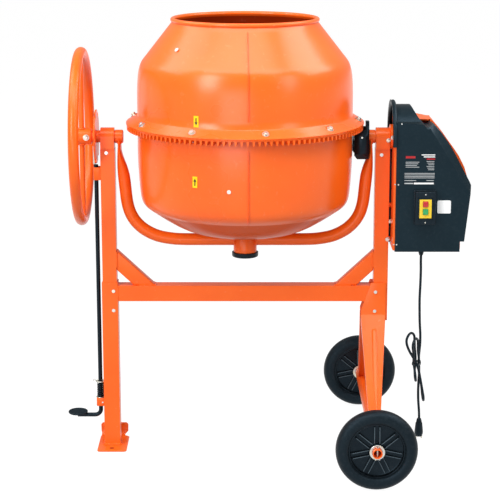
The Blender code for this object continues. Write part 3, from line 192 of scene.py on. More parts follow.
def zinc_plate(name="bright_zinc_plate", tone="#c6c9cc"):
    """Electroplated zinc on steel: pale silver with a bluish and straw bloom in patches
    about 10 mm across, rubbed brighter in places."""
    material, tree = start_material(name)
    place = add(tree, "TexCoord").outputs["Object"]
    bloom = add(tree, "TexNoise", {"Vector": place, "Scale": 110.0, "Detail": 3.0})
    shift = add(tree, "MapRange", {"Value": bloom.outputs["Fac"], "From Min": 0.35, "From Max": 0.65})
    base = add(tree, "Mix", {0: shift.outputs[0], 6: colour(tone), 7: colour("#d8d2bd")},
               data_type="RGBA")
    rough = add(tree, "MapRange", {"Value": bloom.outputs["Fac"], "To Min": 0.24, "To Max": 0.44})
    grit = add(tree, "TexNoise", {"Vector": place, "Scale": 1500.0, "Detail": 2.0})
    bump = add(tree, "Bump", {"Height": grit.outputs["Fac"], "Strength": 0.10, "Distance": 0.0002})
    metal = add(tree, "BsdfPrincipled", {"Base Color": base.outputs[2], "Metallic": 1.0,
                                         "Roughness": rough.outputs[0], "Normal": bump.outputs[0]})
    add(tree, "OutputMaterial", {"Surface": metal.outputs[0]})
    return material


def fitted(piece, body, slot, *nodes):
    """Seat a finished piece on its body, in place of the plain solids named."""
    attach(piece, body)
    if nodes:
        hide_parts(*nodes)
    return piece


def merged_copy(node):
    """A CAD node's mesh as one closed bmesh with its flat faces joined up."""
    shape = bmesh.new()
    shape.from_mesh(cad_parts[node].data)
    bmesh.ops.remove_doubles(shape, verts=shape.verts, dist=2e-6)
    bmesh.ops.dissolve_limit(shape, angle_limit=math.radians(1.2), verts=shape.verts,
                             edges=shape.edges, delimit={"NORMAL"})
    return shape


def edges_of(verts):
    """Every edge that meets these vertices."""
    return list({edge for vert in verts for edge in vert.link_edges})


def rounded(shape, edges, width, segments, clamp=False):
    """Round the given edges of a shape."""
    bmesh.ops.bevel(shape, geom=edges, offset=width, offset_type="OFFSET", segments=segments,
                    profile=0.5, material=-1, affect="EDGES", clamp_overlap=clamp)


def eased_edges(shape, width, segments=3, above=28.0):
    """Round every edge of a shape that turns more than an angle."""
    sharp = [edge for edge in shape.edges
             if len(edge.link_faces) == 2 and edge.calc_face_angle(0) > math.radians(above)]
    rounded(shape, sharp, width, segments, clamp=True)


def even_shaded(piece):
    """Keep a piece's broad faces flat to the eye beside their rounded edges."""
    piece.modifiers.new("even_faces", "WEIGHTED_NORMAL").keep_sharp = True
    return piece


def softened(node, body, width, material, segments=3, above=28.0, smooth=35):
    """A CAD node with its edges rounded as the real tube, casting or moulding has them."""
    shape = merged_copy(node)
    eased_edges(shape, width, segments, above)
    piece = even_shaded(finished(node + "_rounded", shape, material, smooth=smooth))
    return fitted(piece, body, node, node)


def hexagon_bolt(shape, spot, out, across=0.010, washer=0.0, height=None):
    """A hexagon head with a turned chamfer and a flat washer, facing out."""
    height = height or across * 0.55
    turn = Vector(out).normalized().to_track_quat("Z", "Y").to_matrix().to_4x4()
    base = Matrix.Translation(Vector(spot)) @ turn
    rise = 0.0
    if washer:
        rise = 0.0016
        bmesh.ops.create_cone(shape, cap_ends=True, segments=32, radius1=washer,
                              radius2=washer * 0.97, depth=rise,
                              matrix=base @ Matrix.Translation((0, 0, rise / 2)))
    head = bmesh.ops.create_cone(shape, cap_ends=True, segments=6, radius1=across * 0.577,
                                 radius2=across * 0.577, depth=height,
                                 matrix=base @ Matrix.Translation((0, 0, rise + height / 2)))
    rounded(shape, edges_of(head["verts"]), across * 0.05, 2)
    bmesh.ops.create_cone(shape, cap_ends=True, segments=24, radius1=across * 0.46,
                          radius2=across * 0.40, depth=height * 0.18,
                          matrix=base @ Matrix.Translation((0, 0, rise + height * 1.05)))


def dome_bolt(shape, spot, out, radius, height):
    """A round pan head with a dark hexagon socket pressed in its crown."""
    turn = Vector(out).normalized().to_track_quat("Z", "Y").to_matrix().to_4x4()
    base = Matrix.Translation(Vector(spot)) @ turn
    foot = bmesh.ops.create_circle(shape, cap_ends=True, segments=28, radius=radius, matrix=base)
    face = foot["verts"][0].link_faces[0]
    for share, rise in ((0.99, 0.30), (0.95, 0.55), (0.84, 0.80), (0.60, 0.97)):
        bmesh.ops.inset_region(shape, faces=[face], thickness=0.0, depth=0.0)
        centre = face.calc_center_median()
        target = base @ Vector((0, 0, height * rise))
        size = (face.verts[0].co - centre).length
        for vert in face.verts:
            vert.co = target + (vert.co - centre) * (radius * share / size)
    bmesh.ops.inset_region(shape, faces=[face], thickness=radius * 0.06, depth=-height * 0.5)


def ring_line(points, closed=False):
    """Unit directions along a line of points."""
    count = len(points)
    ways = []
    for i in range(count):
        before = points[i - 1] if closed or i else points[i]
        after = points[(i + 1) % count] if closed or i < count - 1 else points[i]
        ways.append((after - before).normalized())
    return ways


def sweep_along(shape, points, radius, sides, closed=False, flat=None, lumps=0.0, seed=1):
    """Run a round section along a line; flat gives (thin, wide) shares at each point."""
    chance = random.Random(seed)
    points = [Vector(p) for p in points]
    ways = ring_line(points, closed)
    across = Vector((0, 1, 0)) if abs(ways[0].y) < 0.9 else Vector((1, 0, 0))
    rings = []
    for i, (point, way) in enumerate(zip(points, ways)):
        across = (across - way * across.dot(way)).normalized()
        turn = Matrix((way.cross(across), across, way)).transposed().to_4x4()
        size = radius * (1 + chance.uniform(-lumps, lumps))
        scale = Matrix.Diagonal((flat[i][0], flat[i][1], 1, 1)) if flat else Matrix.Identity(4)
        cap = not closed and i in (0, len(points) - 1)
        made = bmesh.ops.create_circle(shape, cap_ends=cap, segments=sides, radius=size,
                                       matrix=Matrix.Translation(point) @ turn @ scale)
        rings.append(edges_of(made["verts"]))
    pairs = list(zip(rings, rings[1:])) + ([(rings[-1], rings[0])] if closed else [])
    for first, second in pairs:
        bmesh.ops.bridge_loops(shape, edges=first + second)


def weld_bead(shape, start, end, radius=0.0026, seed=1):
    """A hand-laid fillet: a lumpy line of overlapping ripples along a joint."""
    start, end = Vector(start), Vector(end)
    count = max(4, int((end - start).length / 0.0024))
    line = [start.lerp(end, i / count) for i in range(count + 1)]
    sweep_along(shape, line, radius, 8, lumps=0.17, seed=seed)


drum_x = sum(c.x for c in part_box("drum_lower")) / 2
trunnion_z = 0.895
orange = powder_coat()
zinc = zinc_plate()
for node in ("left_leg", "left_post", "right_post", "crossbar"):
    softened(node, "frame", 0.0034, orange, segments=4, above=60)
bar_low, bar_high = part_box("crossbar")
longer, shorter = 0.0145, 0.0050
for node, side in (("left_brace", -1), ("right_brace", 1)):
    tube = merged_copy(node)
    on_post = [v for v in tube.verts if side * (v.co.x - drum_x) > 0.31
               and v.co.z > bar_high.z + 0.010]
    on_bar = [v for v in tube.verts if v not in on_post]
    half_up = (min(v.co.z for v in on_post) + max(v.co.z for v in on_post)) / 2
    half_in = (min(v.co.x for v in on_bar) + max(v.co.x for v in on_bar)) / 2
    for vert in on_post:
        vert.co.z += longer if vert.co.z > half_up else shorter
    for vert in on_bar:
        vert.co.x -= side * (longer if side * (vert.co.x - half_in) < 0 else shorter)
    eased_edges(tube, 0.0032, 4, 24)
    fitted(finished(node + "_mitred", tube, orange), "frame", node, node)

# ------------------------------------------------------------------ stand welds and bolts
# The cross bar, braces and sleeve are joined by short hand-laid fillets under the coat.
# Zinc cap screws hold the post in its sleeve and the wheel legs on the right post.
welds = bmesh.new()
for k, side in enumerate((-1, 1)):
    brace_low, brace_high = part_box("left_brace" if side < 0 else "right_brace")
    foot = sorted((brace_low.x, brace_high.x), key=lambda v: -abs(v - drum_x))
    inner, brace_high = foot[1] - side * longer, brace_high + Vector((0, 0, longer))
    for y in (brace_low.y - 0.001, brace_high.y + 0.001):
        weld_bead(welds, (inner + side * 0.002, y, bar_high.z + 0.001),
                  (inner + side * 0.044, y, bar_high.z + 0.001), 0.0024, seed=3 + k)
        weld_bead(welds, (foot[0] - side * 0.001, y, brace_high.z - 0.046),
                  (foot[0] - side * 0.001, y, brace_high.z - 0.003), 0.0022, seed=7 + k)
    weld_bead(welds, (inner - side * 0.0005, brace_low.y + 0.002, bar_high.z + 0.001),
              (inner - side * 0.0005, brace_high.y - 0.002, bar_high.z + 0.001), 0.0024, seed=11 + k)
for x in (bar_low.x, bar_high.x):
    for y in (bar_low.y + 0.0005, bar_high.y - 0.0005):
        weld_bead(welds, (x, y, bar_low.z + 0.004), (x, y, bar_high.z - 0.004), 0.0020, seed=17)
    weld_bead(welds, (x, bar_low.y + 0.004, bar_high.z - 0.0005),
              (x, bar_high.y - 0.004, bar_high.z - 0.0005), 0.0022, seed=19)
fitted(finished("stand_welds", welds, orange), "frame", "crossbar")

caps = bmesh.new()
leg_low, leg_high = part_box("left_leg")
for x, z, y in ((drum_x - 0.3705, 0.4585, leg_low.y), (drum_x - 0.3710, 0.4025, leg_low.y),
                (drum_x - 0.3840, 0.8520, -0.0200), (drum_x + 0.3776, 0.8465, -0.0200),
                (drum_x + 0.3666, 0.4570, -0.0258), (drum_x + 0.3650, 0.4015, -0.0258)):
    dome_bolt(caps, (x, y, z), (0, -1, 0), 0.0080, 0.0044)
    hexagon_bolt(caps, (x, -y, z), (0, 1, 0), 0.0115, 0.0085)
fitted(finished("stand_cap_screws", caps, zinc), "frame", "lock_pin")

# ------------------------------------------------------------------ left foot
# A foot plate of 3.6 mm steel welded under the sleeve's end, its toe rounded off and its
# back turned up as a low wall. A short slot in the toe takes a ground pin; its hollow is a
# thin dark patch laid on the plate, a painted shadow.


def moulded(name, tone, light, low=0.42, high=0.58, grain=900.0, depth=0.0002, dust=0.05,
            dust_tone="#8f979b", sheen="#a6c6de"):
    """A moulded plastic or rubber skin: one colour with slow cloudy shifts, the fine
    matt grain of the mould at a real scale and a thin film of dust."""
    material, tree = start_material(name)
    place = add(tree, "TexCoord").outputs["Object"]
    cloud = add(tree, "TexNoise", {"Vector": place, "Scale": 14.0, "Detail": 3.0})
    shift = add(tree, "MapRange", {"Value": cloud.outputs["Fac"], "From Min": 0.2, "From Max": 0.8})
    base = add(tree, "Mix", {0: shift.outputs[0], 6: colour(tone), 7: colour(light)}, data_type="RGBA")
    fine = add(tree, "TexNoise", {"Vector": place, "Scale": 120.0, "Detail": 5.0})
    film = add(tree, "MapRange", {"Value": fine.outputs["Fac"], "From Min": 0.5, "From Max": 0.8,
                                  "To Max": dust})
    base = add(tree, "Mix", {0: film.outputs[0], 6: base.outputs[2], 7: colour(dust_tone)},
               data_type="RGBA")
    rough = add(tree, "MapRange", {"Value": cloud.outputs["Fac"], "To Min": low, "To Max": high})
    skin = add(tree, "TexNoise", {"Vector": place, "Scale": grain, "Detail": 2.0})
    bump = add(tree, "Bump", {"Height": skin.outputs["Fac"], "Strength": 0.35, "Distance": depth})
    shader = add(tree, "BsdfPrincipled", {"Base Color": base.outputs[2], "Roughness": rough.outputs[0],
                                          "IOR": 1.40, "Specular Tint": colour(sheen),
                                          "Normal": bump.outputs[0]})
    add(tree, "OutputMaterial", {"Surface": shader.outputs[0]})
    return material


def block(shape, centre, size):
    """Add a box of a size about a centre, and give its vertices."""
    made = bmesh.ops.create_cube(shape, size=1.0, matrix=Matrix.Translation(centre)
                                 @ Matrix.Diagonal((*size, 1)))
    return made["verts"]


def faced(shape, face_of, way):
    """Make an open sheet's faces agree, with the face chosen by face_of looking along way."""
    bmesh.ops.recalc_face_normals(shape, faces=shape.faces)
    if face_of(shape.faces).normal.dot(Vector(way)) < 0:
        bmesh.ops.reverse_faces(shape, faces=shape.faces)


foot_x = drum_x - 0.381
plate_thick = 0.0036
foot_plate = bmesh.new()
rows = []
for y, z, left_in, right_in in ((-0.0745, 0.0018, 0.0085, 0.0085), (-0.0735, 0.0018, 0.0050, 0.0050),
                                (-0.0715, 0.0018, 0.0022, 0.0022), (-0.0670, 0.0018, 0.0, 0.0),
                                (0.0500, 0.0018, 0.0, 0.0), (0.0560, 0.0018, 0.0006, 0.0045),
                                (0.0610, 0.0020, 0.0016, 0.0120), (0.0655, 0.0030, 0.0020, 0.0135),
                                (0.0690, 0.0056, 0.0020, 0.0120), (0.0710, 0.0090, 0.0016, 0.0070),
                                (0.0718, 0.0120, 0.0006, 0.0045), (0.0720, 0.0300, 0.0, 0.0040),
                                (0.0720, 0.0345, 0.0020, 0.0060), (0.0720, 0.0370, 0.0055, 0.0095)):
    first, last = foot_x - 0.0405 + left_in, foot_x + 0.0430 - right_in
    rows.append([foot_plate.verts.new((first + (last - first) * i / 6, y, z)) for i in range(7)])
for row, following in zip(rows, rows[1:]):
    for i in range(len(row) - 1):
        foot_plate.faces.new((row[i], row[i + 1], following[i + 1], following[i]))
faced(foot_plate, lambda faces: max(faces, key=lambda f: abs(f.normal.z)), (0, 0, 1))
bmesh.ops.solidify(foot_plate, geom=list(foot_plate.faces), thickness=plate_thick)
lowest = min(v.co.z for v in foot_plate.verts)
bmesh.ops.translate(foot_plate, verts=foot_plate.verts, vec=(0, 0, -lowest))
eased_edges(foot_plate, 0.0010, 3, 34)
fitted(finished("left_foot_folded", foot_plate, orange, smooth=38), "frame", "left_foot", "left_foot")
# The slot is not cut: a thin dark patch on the plate's top paints the shadow in its hollow.
slot = bmesh.new()
block(slot, (foot_x, -0.0520, plate_thick + 0.00025), (0.0120, 0.0075, 0.0006))
rounded(slot, [e for e in slot.edges if abs(e.verts[0].co.z - e.verts[1].co.z) > 1e-4], 0.0030, 4)
hollow_shadow = moulded("slot_painted_shadow", "#1a0f0a", "#2a1a12", 0.6, 0.8, 300.0, 0.0002, 0.05, "#6a4a38")
fitted(finished("foot_slot_painted_shadow", slot, hollow_shadow), "frame", "left_foot")
foot_welds = bmesh.new()
toe_z = leg_low.z + 0.0008
for y in (leg_low.y - 0.0006, leg_high.y + 0.0006):
    weld_bead(foot_welds, (leg_low.x + 0.001, y, toe_z), (leg_high.x - 0.001, y, toe_z), 0.0030, seed=23)
for x in (leg_low.x - 0.0006, leg_high.x + 0.0006):
    weld_bead(foot_welds, (x, leg_low.y + 0.001, toe_z), (x, leg_high.y - 0.001, toe_z), 0.0030, seed=29)
fitted(finished("foot_welds", foot_welds, orange), "frame", "left_foot")

# ------------------------------------------------------------------ wheel legs
# Two channels pressed from 3 mm sheet, bolted front and back on the right post. Each has
# a long stiffening bead pressed up along the middle of its sloping face.
leg_sheet = 0.0028
bead_steps, bead_half_wide, bead_rise = 32, 0.0070, 0.0026
for node, side in (("front_wheel_leg", -1), ("rear_wheel_leg", 1)):
    leg_box_low, leg_box_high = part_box(node)
    left, right = leg_box_low.x - 0.0035, leg_box_high.x - 0.0040
    wall_y, fold_z, top_z = 0.0243, 0.391, leg_box_high.z
    toe_left, toe_right, toe_y, toe_z = drum_x + 0.3400, drum_x + 0.3672, 0.2662, 0.1240
    press = bmesh.new()
    corner = [press.verts.new((x, side * y, z)) for x, y, z in (
        (left + 0.027, wall_y, top_z), (right, wall_y, top_z), (right, wall_y, fold_z),
        (left, wall_y, fold_z), (left, wall_y, 0.402), (toe_right, toe_y, toe_z),
        (toe_left, toe_y, toe_z))]
    press.faces.new([corner[i] for i in (0, 1, 2, 3, 4)])
    press.faces.new([corner[i] for i in (3, 2, 5, 6)])
    inward = Vector((0, -side * 0.0155, -0.0140))
    for upper, lower in ((3, 6), (2, 5)):
        root_a, root_b = corner[upper], corner[lower]
        edge_a = press.verts.new(root_a.co + Vector((0, -side * 0.0015, -0.0180)))
        edge_b = press.verts.new(root_b.co + inward * 0.45)
        middle_a = press.verts.new(root_a.co.lerp(root_b.co, 0.12) + inward)
        press.faces.new([root_a, edge_a, middle_a, edge_b, root_b])
    faced(press, lambda faces: max(faces, key=lambda f: f.calc_area()), (0, side, 0))
    bmesh.ops.solidify(press, geom=list(press.faces), thickness=leg_sheet)
    eased_edges(press, 0.0011, 3, 24)
    fitted(finished(node + "_pressed", press, orange, smooth=30), "frame", node, node)
    top_y, top_z, toe_y, toe_z = 0.0248, 0.391, 0.2668, 0.1245
    rib = bmesh.new()
    line, shares = [], []
    for i in range(bead_steps + 1):
        t = (i / bead_steps) ** 2
        along = 0.125 + 0.76 * t
        swell = math.sqrt(max(0.001, 1 - max(0.0, 1 - t * 40) ** 2)) * min(1.0, (1 - t) * 2.2 + 0.02)
        line.append((drum_x + 0.3628 - 0.0030 * along, side * (top_y + (toe_y - top_y) * along - 0.0006),
                     top_z + (toe_z - top_z) * along))
        shares.append((max(0.12, swell) * bead_half_wide, max(0.04, swell) * bead_rise))
    ways = ring_line([Vector(p) for p in line])
    rings = []
    for point, way, (wide, high) in zip(line, ways, shares):
        normal = Vector((1, 0, 0)).cross(way).normalized()
        turn = Matrix((Vector((1, 0, 0)), normal, way)).transposed().to_4x4()
        made = bmesh.ops.create_circle(rib, cap_ends=len(rings) in (0, bead_steps), segments=20,
                                       radius=1.0, matrix=Matrix.Translation(point) @ turn
                                       @ Matrix.Diagonal((wide, high, 1, 1)))
        rings.append(edges_of(made["verts"]))
    for first, second in zip(rings, rings[1:]):
        bmesh.ops.bridge_loops(rib, edges=first + second)
    fitted(finished(node + "_pressed_bead", rib, orange, smooth=60), "frame", node)

# ------------------------------------------------------------------ axle and split pins
# A coated steel tube through both wheel legs. Outside each wheel a zinc washer and a
# split pin, with its legs spread, keep the wheel on.


def turned(shape, profile, centre, axis, steps=96):
    """Spin a profile of (radius, along) points a full turn round an axis, as on a lathe."""
    axis, centre = Vector(axis), Vector(centre)
    across = axis.orthogonal().normalized()
    points = [shape.verts.new(centre + across * radius + axis * along) for radius, along in profile]
    links = list(zip(points, points[1:]))
    if profile[0][0] > 1e-6 or profile[-1][0] > 1e-6:
        links.append((points[-1], points[0]))
    edges = [shape.edges.new(link) for link in links]
    bmesh.ops.spin(shape, geom=points + edges, cent=centre, axis=axis, dvec=(0, 0, 0),
                   angle=math.radians(360), steps=steps, use_merge=True, use_duplicate=False)
    bmesh.ops.remove_doubles(shape, verts=shape.verts, dist=1e-6)


softened("axle", "frame", 0.0008, orange, segments=2, above=60)
axle_x, axle_z, bore = drum_x + 0.351, 0.110, 0.0141
for node, side in (("front_wheel", -1), ("rear_wheel", 1)):
    pin = bmesh.new()
    pin_y = sum(c.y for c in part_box(node + "_pin")) / 2
    for shift in (-0.0009, 0.0009):
        line = [(axle_x + shift, pin_y, axle_z + 0.0165 - 0.001 * i) for i in range(32)]
        line += [(axle_x + shift * (1 + i * 1.4), pin_y + side * 0.0004 * i, axle_z - 0.0150 - 0.0011 * i)
                 for i in range(1, 5)]
        sweep_along(pin, line, 0.0009, 10)
    loop = [(axle_x + 0.0027 * math.sin(a), pin_y, axle_z + 0.0184 - 0.0027 * math.cos(a))
            for a in (math.radians(24 + 312 * i / 20) for i in range(21))]
    sweep_along(pin, loop, 0.0009, 10)
    fitted(finished(node + "_split_pin", pin, zinc, smooth=50), "frame", node + "_pin", node + "_pin")
    washer = bmesh.new()
    inner = side * sum(c.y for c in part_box(node + "_disc")) / 2 - 0.0222
    near = abs(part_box(node + "_disc")[0].y if side < 0 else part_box(node + "_disc")[1].y) + 0.0004
    for y in (inner - 0.0019, near):
        turned(washer, [(bore, y), (0.0199, y), (0.0205, y + 0.0005), (0.0205, y + 0.0014),
                        (0.0199, y + 0.0019), (bore, y + 0.0019)], (axle_x, 0, axle_z), (0, side, 0), 64)
    fitted(finished(node + "_axle_washer", washer, zinc), "frame", node + "_pin")

# ------------------------------------------------------------------ wheels
# Puncture-proof wheels: a foamed rubber tyre with rounded shoulders and a crease above the
# rim, on a closed black nylon disc stiffened with seven pairs of radial ribs. The ribs'
# outward faces are a paler nylon: a painted highlight.
rib_pairs = 7
tyre_rubber = moulded("foamed_tyre_rubber", "#070d11", "#0d1519", 0.44, 0.56, 700.0, 0.0002, 0.03)
disc_nylon = moulded("black_wheel_nylon", "#05080b", "#0a0f13", 0.22, 0.32, 1100.0, 0.00012, 0.02)
# A paler copy of the disc nylon paints the highlight where the rib crests catch the light.
rib_painted_highlight_nylon = moulded("painted_highlight_rib_nylon", "#3c474e", "#58646b", 0.28, 0.38, 1100.0, 0.00012, 0.02)
for node, side in (("front_wheel", -1), ("rear_wheel", 1)):
    middle = sum(c.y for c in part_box(node + "_tyre")) / 2
    face = [(0.0752, 0.0110), (0.0756, 0.0158), (0.0768, 0.0192), (0.0790, 0.0216), (0.0820, 0.0231),
            (0.0860, 0.0239), (0.0900, 0.0240), (0.0940, 0.0236), (0.0980, 0.0224), (0.1015, 0.0204),
            (0.1048, 0.0172), (0.1073, 0.0132), (0.1089, 0.0084), (0.1098, 0.0033)]
    tyre = bmesh.new()
    turned(tyre, face + [(r, -y) for r, y in reversed(face)], (axle_x, middle, axle_z), (0, side, 0), 112)
    fitted(finished(node + "_tyre_moulded", tyre, tyre_rubber, smooth=32), node, node + "_tyre",
           node + "_tyre")
    disc = bmesh.new()
    half = [(bore, 0.0218), (0.0208, 0.0218), (0.0218, 0.0208), (0.0224, 0.0075), (0.0240, 0.0062),
            (0.0680, 0.0040), (0.0704, 0.0050), (0.0714, 0.0125), (0.0724, 0.0146), (0.0742, 0.0154),
            (0.0762, 0.0150)]
    turned(disc, half + [(r, -y) for r, y in reversed(half)], (axle_x, middle, axle_z), (0, side, 0), 96)
    for way in (-1, 1):
        for k in range(rib_pairs):
            for shift in (-0.0070, 0.0070):
                before = set(disc.verts)
                fin = block(disc, (0.0425, way * 0.0086, shift), (0.0480, 0.0105, 0.0024))
                high = [v for v in fin if v.co.x > 0.05 and way * v.co.y > 0.01]
                bmesh.ops.translate(disc, verts=high, vec=(0, -way * 0.0024, 0))
                crest = [e for e in edges_of(fin) if all(way * v.co.y > 0.01 for v in e.verts)]
                rounded(disc, crest, 0.0009, 2)
                fin = [v for v in disc.verts if v not in before]
                for face in {f for v in fin for f in v.link_faces}:
                    face.normal_update()
                    # Outward-facing rib faces take the painted highlight.
                    if way * face.normal.y > 0.3:
                        face.material_index = 1
                bmesh.ops.rotate(disc, verts=fin, cent=(0, 0, 0), matrix=Matrix.Rotation(
                    math.radians(-90 - 360 * k / rib_pairs), 3, "Y"))
                bmesh.ops.translate(disc, verts=fin, vec=(axle_x, middle, axle_z))
    fitted(finished(node + "_disc_ribbed", disc, disc_nylon, rib_painted_highlight_nylon, smooth=32), node, node + "_disc",
           node + "_disc")

# ------------------------------------------------------------------ trunnion blocks
# Cast bearing blocks on the post tops, coated with the stand. The yoke's journals turn in
# them, and a thin joint line shows where each block sits down on its post.
for node in ("left_trunnion_block", "right_trunnion_block"):
    softened(node, "frame", 0.0012, orange, segments=3, above=40)

# ------------------------------------------------------------------ yoke
# One length of round steel tube bent to a U under the drum. Both ends are pressed flat
# and welded to the journals.


def through(points, steps):
    """Steps along one smooth curve through the points; it only leans on the first and last."""
    points = [Vector(p) for p in points]
    line = []
    for a, b, c, d in zip(points, points[1:], points[2:], points[3:]):
        for t in (i / steps for i in range(steps)):
            line.append(0.5 * (2 * b + (c - a) * t + (2 * a - 5 * b + 4 * c - d) * t ** 2
                               + (3 * b - a - 3 * c + d) * t ** 3))
    return line


yoke_radius, yoke_low_z = 0.017, 0.6035
path, shares = [], []
bend = [(0.3480, 0.8880, 0.30), (0.3480, 0.8700, 0.30), (0.3480, 0.8540, 0.36), (0.3455, 0.8325, 0.57),
        (0.3415, 0.8100, 0.82), (0.3378, 0.7870, 0.97), (0.3352, 0.7645, 1.0), (0.3330, 0.7420, 1.0),
        (0.3306, 0.7195, 1.0), (0.3264, 0.6970, 1.0), (0.3185, 0.6745, 1.0), (0.3040, 0.6520, 1.0),
        (0.2800, 0.6306, 1.0), (0.2450, 0.6136, 1.0), (0.2020, 0.6054, 1.0), (0.1600, 0.6035, 1.0)]
for x, z, share in through([bend[0]] + bend + [(0.1080, yoke_low_z, 1.0)], 4):
    path.append((x, z))
    shares.append((share, 1.47 - 0.47 * (share - 0.30) / 0.70))
path += [(0.160, yoke_low_z), (0.110, yoke_low_z), (0.055, yoke_low_z)]
shares += [(1.0, 1.0)] * 3
line = [(drum_x - x, 0, z) for x, z in path] + [(drum_x, 0, yoke_low_z)]
line += [(drum_x + x, 0, z) for x, z in reversed(path)]
yoke = bmesh.new()
sweep_along(yoke, line, yoke_radius, 36, flat=shares + [(1.0, 1.0)] + shares[::-1])
fitted(finished("yoke_tube", yoke, orange, smooth=50), "yoke", "yoke", "yoke")

# ------------------------------------------------------------------ yoke hub and its cap
# A turned steel hub welded under the yoke carries the drum's spindle in a bearing. A black
# plastic cap keeps the grit out from below.
hub = bmesh.new()
low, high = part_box("yoke_hub")
turned(hub, [(0.0, low.z), (0.0310, low.z), (0.0325, low.z + 0.0015), (0.0325, high.z - 0.0040),
             (0.0300, high.z), (0.0, high.z)], (drum_x, 0, 0), (0, 0, 1), 72)
for side in (-1, 1):
    ring = [(drum_x + side * (0.0318 - 0.004 * abs(math.cos(a))), 0.0180 * math.sin(a),
             yoke_low_z + 0.0180 * math.cos(a)) for a in (math.radians(12 * i + 34) for i in range(25))]
    sweep_along(hub, ring, 0.0027, 8, lumps=0.15, seed=31)
fitted(finished("yoke_hub_turned", hub, orange), "yoke", "yoke_hub", "yoke_hub", "spindle_bearing")
cap_plastic = moulded("black_cap_polythene", "#07090a", "#0d1011", 0.34, 0.44, 900.0, 0.00012, 0.02)
cap = bmesh.new()
low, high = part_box("hub_cap")
turned(cap, [(0.0, low.z + 0.0012), (0.018, low.z + 0.0012), (0.0195, low.z), (0.0335, low.z),
             (0.0362, low.z + 0.0014), (0.0370, low.z + 0.0040), (0.0370, high.z), (0.0, high.z)],
       (drum_x, 0, 0), (0, 0, 1), 72)
fitted(finished("hub_cap_moulded", cap, cap_plastic), "yoke", "hub_cap", "hub_cap")

# ------------------------------------------------------------------ journals
# Turned stub shafts welded to the yoke's flat ends. The right one is bored for the drive
# shaft, and the left one runs out through the block to the handwheel.
for node in ("left_journal", "right_journal"):
    softened(node, "yoke", 0.0014, orange, segments=3, above=60)
bosses = bmesh.new()
for side in (-1, 1):
    turned(bosses, [(0.0160, 0.3388), (0.0178, 0.3388), (0.0187, 0.3398), (0.0187, 0.3590),
                    (0.0180, 0.3598), (0.0160, 0.3598)], (drum_x, 0, trunnion_z), (side, 0, 0), 64)
    seam = [(drum_x + side * (0.3480 + 0.0052 * math.cos(a)), 0.0205 * math.sin(a), 0.8778)
            for a in (2 * math.pi * i / 28 for i in range(28))]
    sweep_along(bosses, seam, 0.0020, 8, closed=True, lumps=0.16, seed=37)
fitted(finished("journal_collars", bosses, orange, smooth=40), "yoke", "yoke")

# ------------------------------------------------------------------ handwheel
# A big steel ring with one cross bar through a short hub, all welded up and coated. It
# turns the yoke to tip the drum. A zinc bolt through the hub holds it on the journal.
wheel_x, wheel_radius, rim_radius = drum_x - 0.4525, 0.232, 0.0145
rim = bmesh.new()
ring = [(wheel_x, wheel_radius * math.cos(a), trunnion_z + wheel_radius * math.sin(a))
        for a in (2 * math.pi * i / 112 for i in range(112))]
sweep_along(rim, ring, rim_radius, 28, closed=True)
fitted(finished("handwheel_rim_tube", rim, orange, smooth=60), "yoke", "handwheel_rim", "handwheel_rim")
bar = bmesh.new()
bar_low, bar_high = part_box("handwheel_bar")
line = [(wheel_x, 0, bar_low.z - 0.002 + (bar_high.z - bar_low.z + 0.004) * i / 40) for i in range(41)]
sweep_along(bar, line, 0.0075, 28)
for end in (-1, 1):
    ring = [(wheel_x + 0.0082 * math.cos(a), 0.0082 * math.sin(a),
             trunnion_z + end * (0.2188 + 0.0006 * math.cos(2 * a)))
            for a in (math.radians(18 * i) for i in range(20))]
    sweep_along(bar, ring, 0.0024, 8, closed=True, lumps=0.16, seed=41)
fitted(finished("handwheel_bar_round", bar, orange, smooth=50), "yoke", "handwheel_bar", "handwheel_bar")
hub = bmesh.new()
hub_low, hub_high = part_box("handwheel_hub")
near, far = drum_x - hub_high.x, drum_x - hub_low.x
turned(hub, [(0.0170, near), (0.0212, near), (0.0225, near + 0.0013), (0.0225, far - 0.0016),
             (0.0209, far), (0.0, far), (0.0, far - 0.004), (0.0170, far - 0.004)],
       (drum_x, 0, trunnion_z), (-1, 0, 0), 64)
for end in (-1, 1):
    ring = [(wheel_x + 0.0095 * math.cos(a), 0.0095 * math.sin(a), trunnion_z + end * 0.0218)
            for a in (math.radians(18 * i) for i in range(20))]
    sweep_along(hub, ring, 0.0023, 8, closed=True, lumps=0.17, seed=43)
fitted(finished("handwheel_hub_turned", hub, orange, smooth=40), "yoke", "handwheel_hub", "handwheel_hub")
hub_bolt = bmesh.new()
for side in (-1, 1):
    hexagon_bolt(hub_bolt, (drum_x - 0.4387, side * 0.0221, trunnion_z), (0, side, 0), 0.0118, 0.0088)
fitted(finished("handwheel_hub_bolt", hub_bolt, zinc), "yoke", "lock_pin")

# ------------------------------------------------------------------ lock disc
# A laser-cut plate with six slots in its edge, welded behind the handwheel's hub. The
# pedal's pin drops into a slot to hold the drum's tilt.
softened("lock_disc", "yoke", 0.0007, orange, segments=2, above=50)
disc_weld = bmesh.new()
disc_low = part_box("lock_disc")[0]
ring = [(disc_low.x - 0.0006, 0.0236 * math.cos(a), trunnion_z + 0.0236 * math.sin(a))
        for a in (math.radians(9 * i) for i in range(40))]
sweep_along(disc_weld, ring, 0.0026, 8, closed=True, lumps=0.16, seed=47)
fitted(finished("lock_disc_weld", disc_weld, orange, smooth=50), "yoke", "lock_disc")

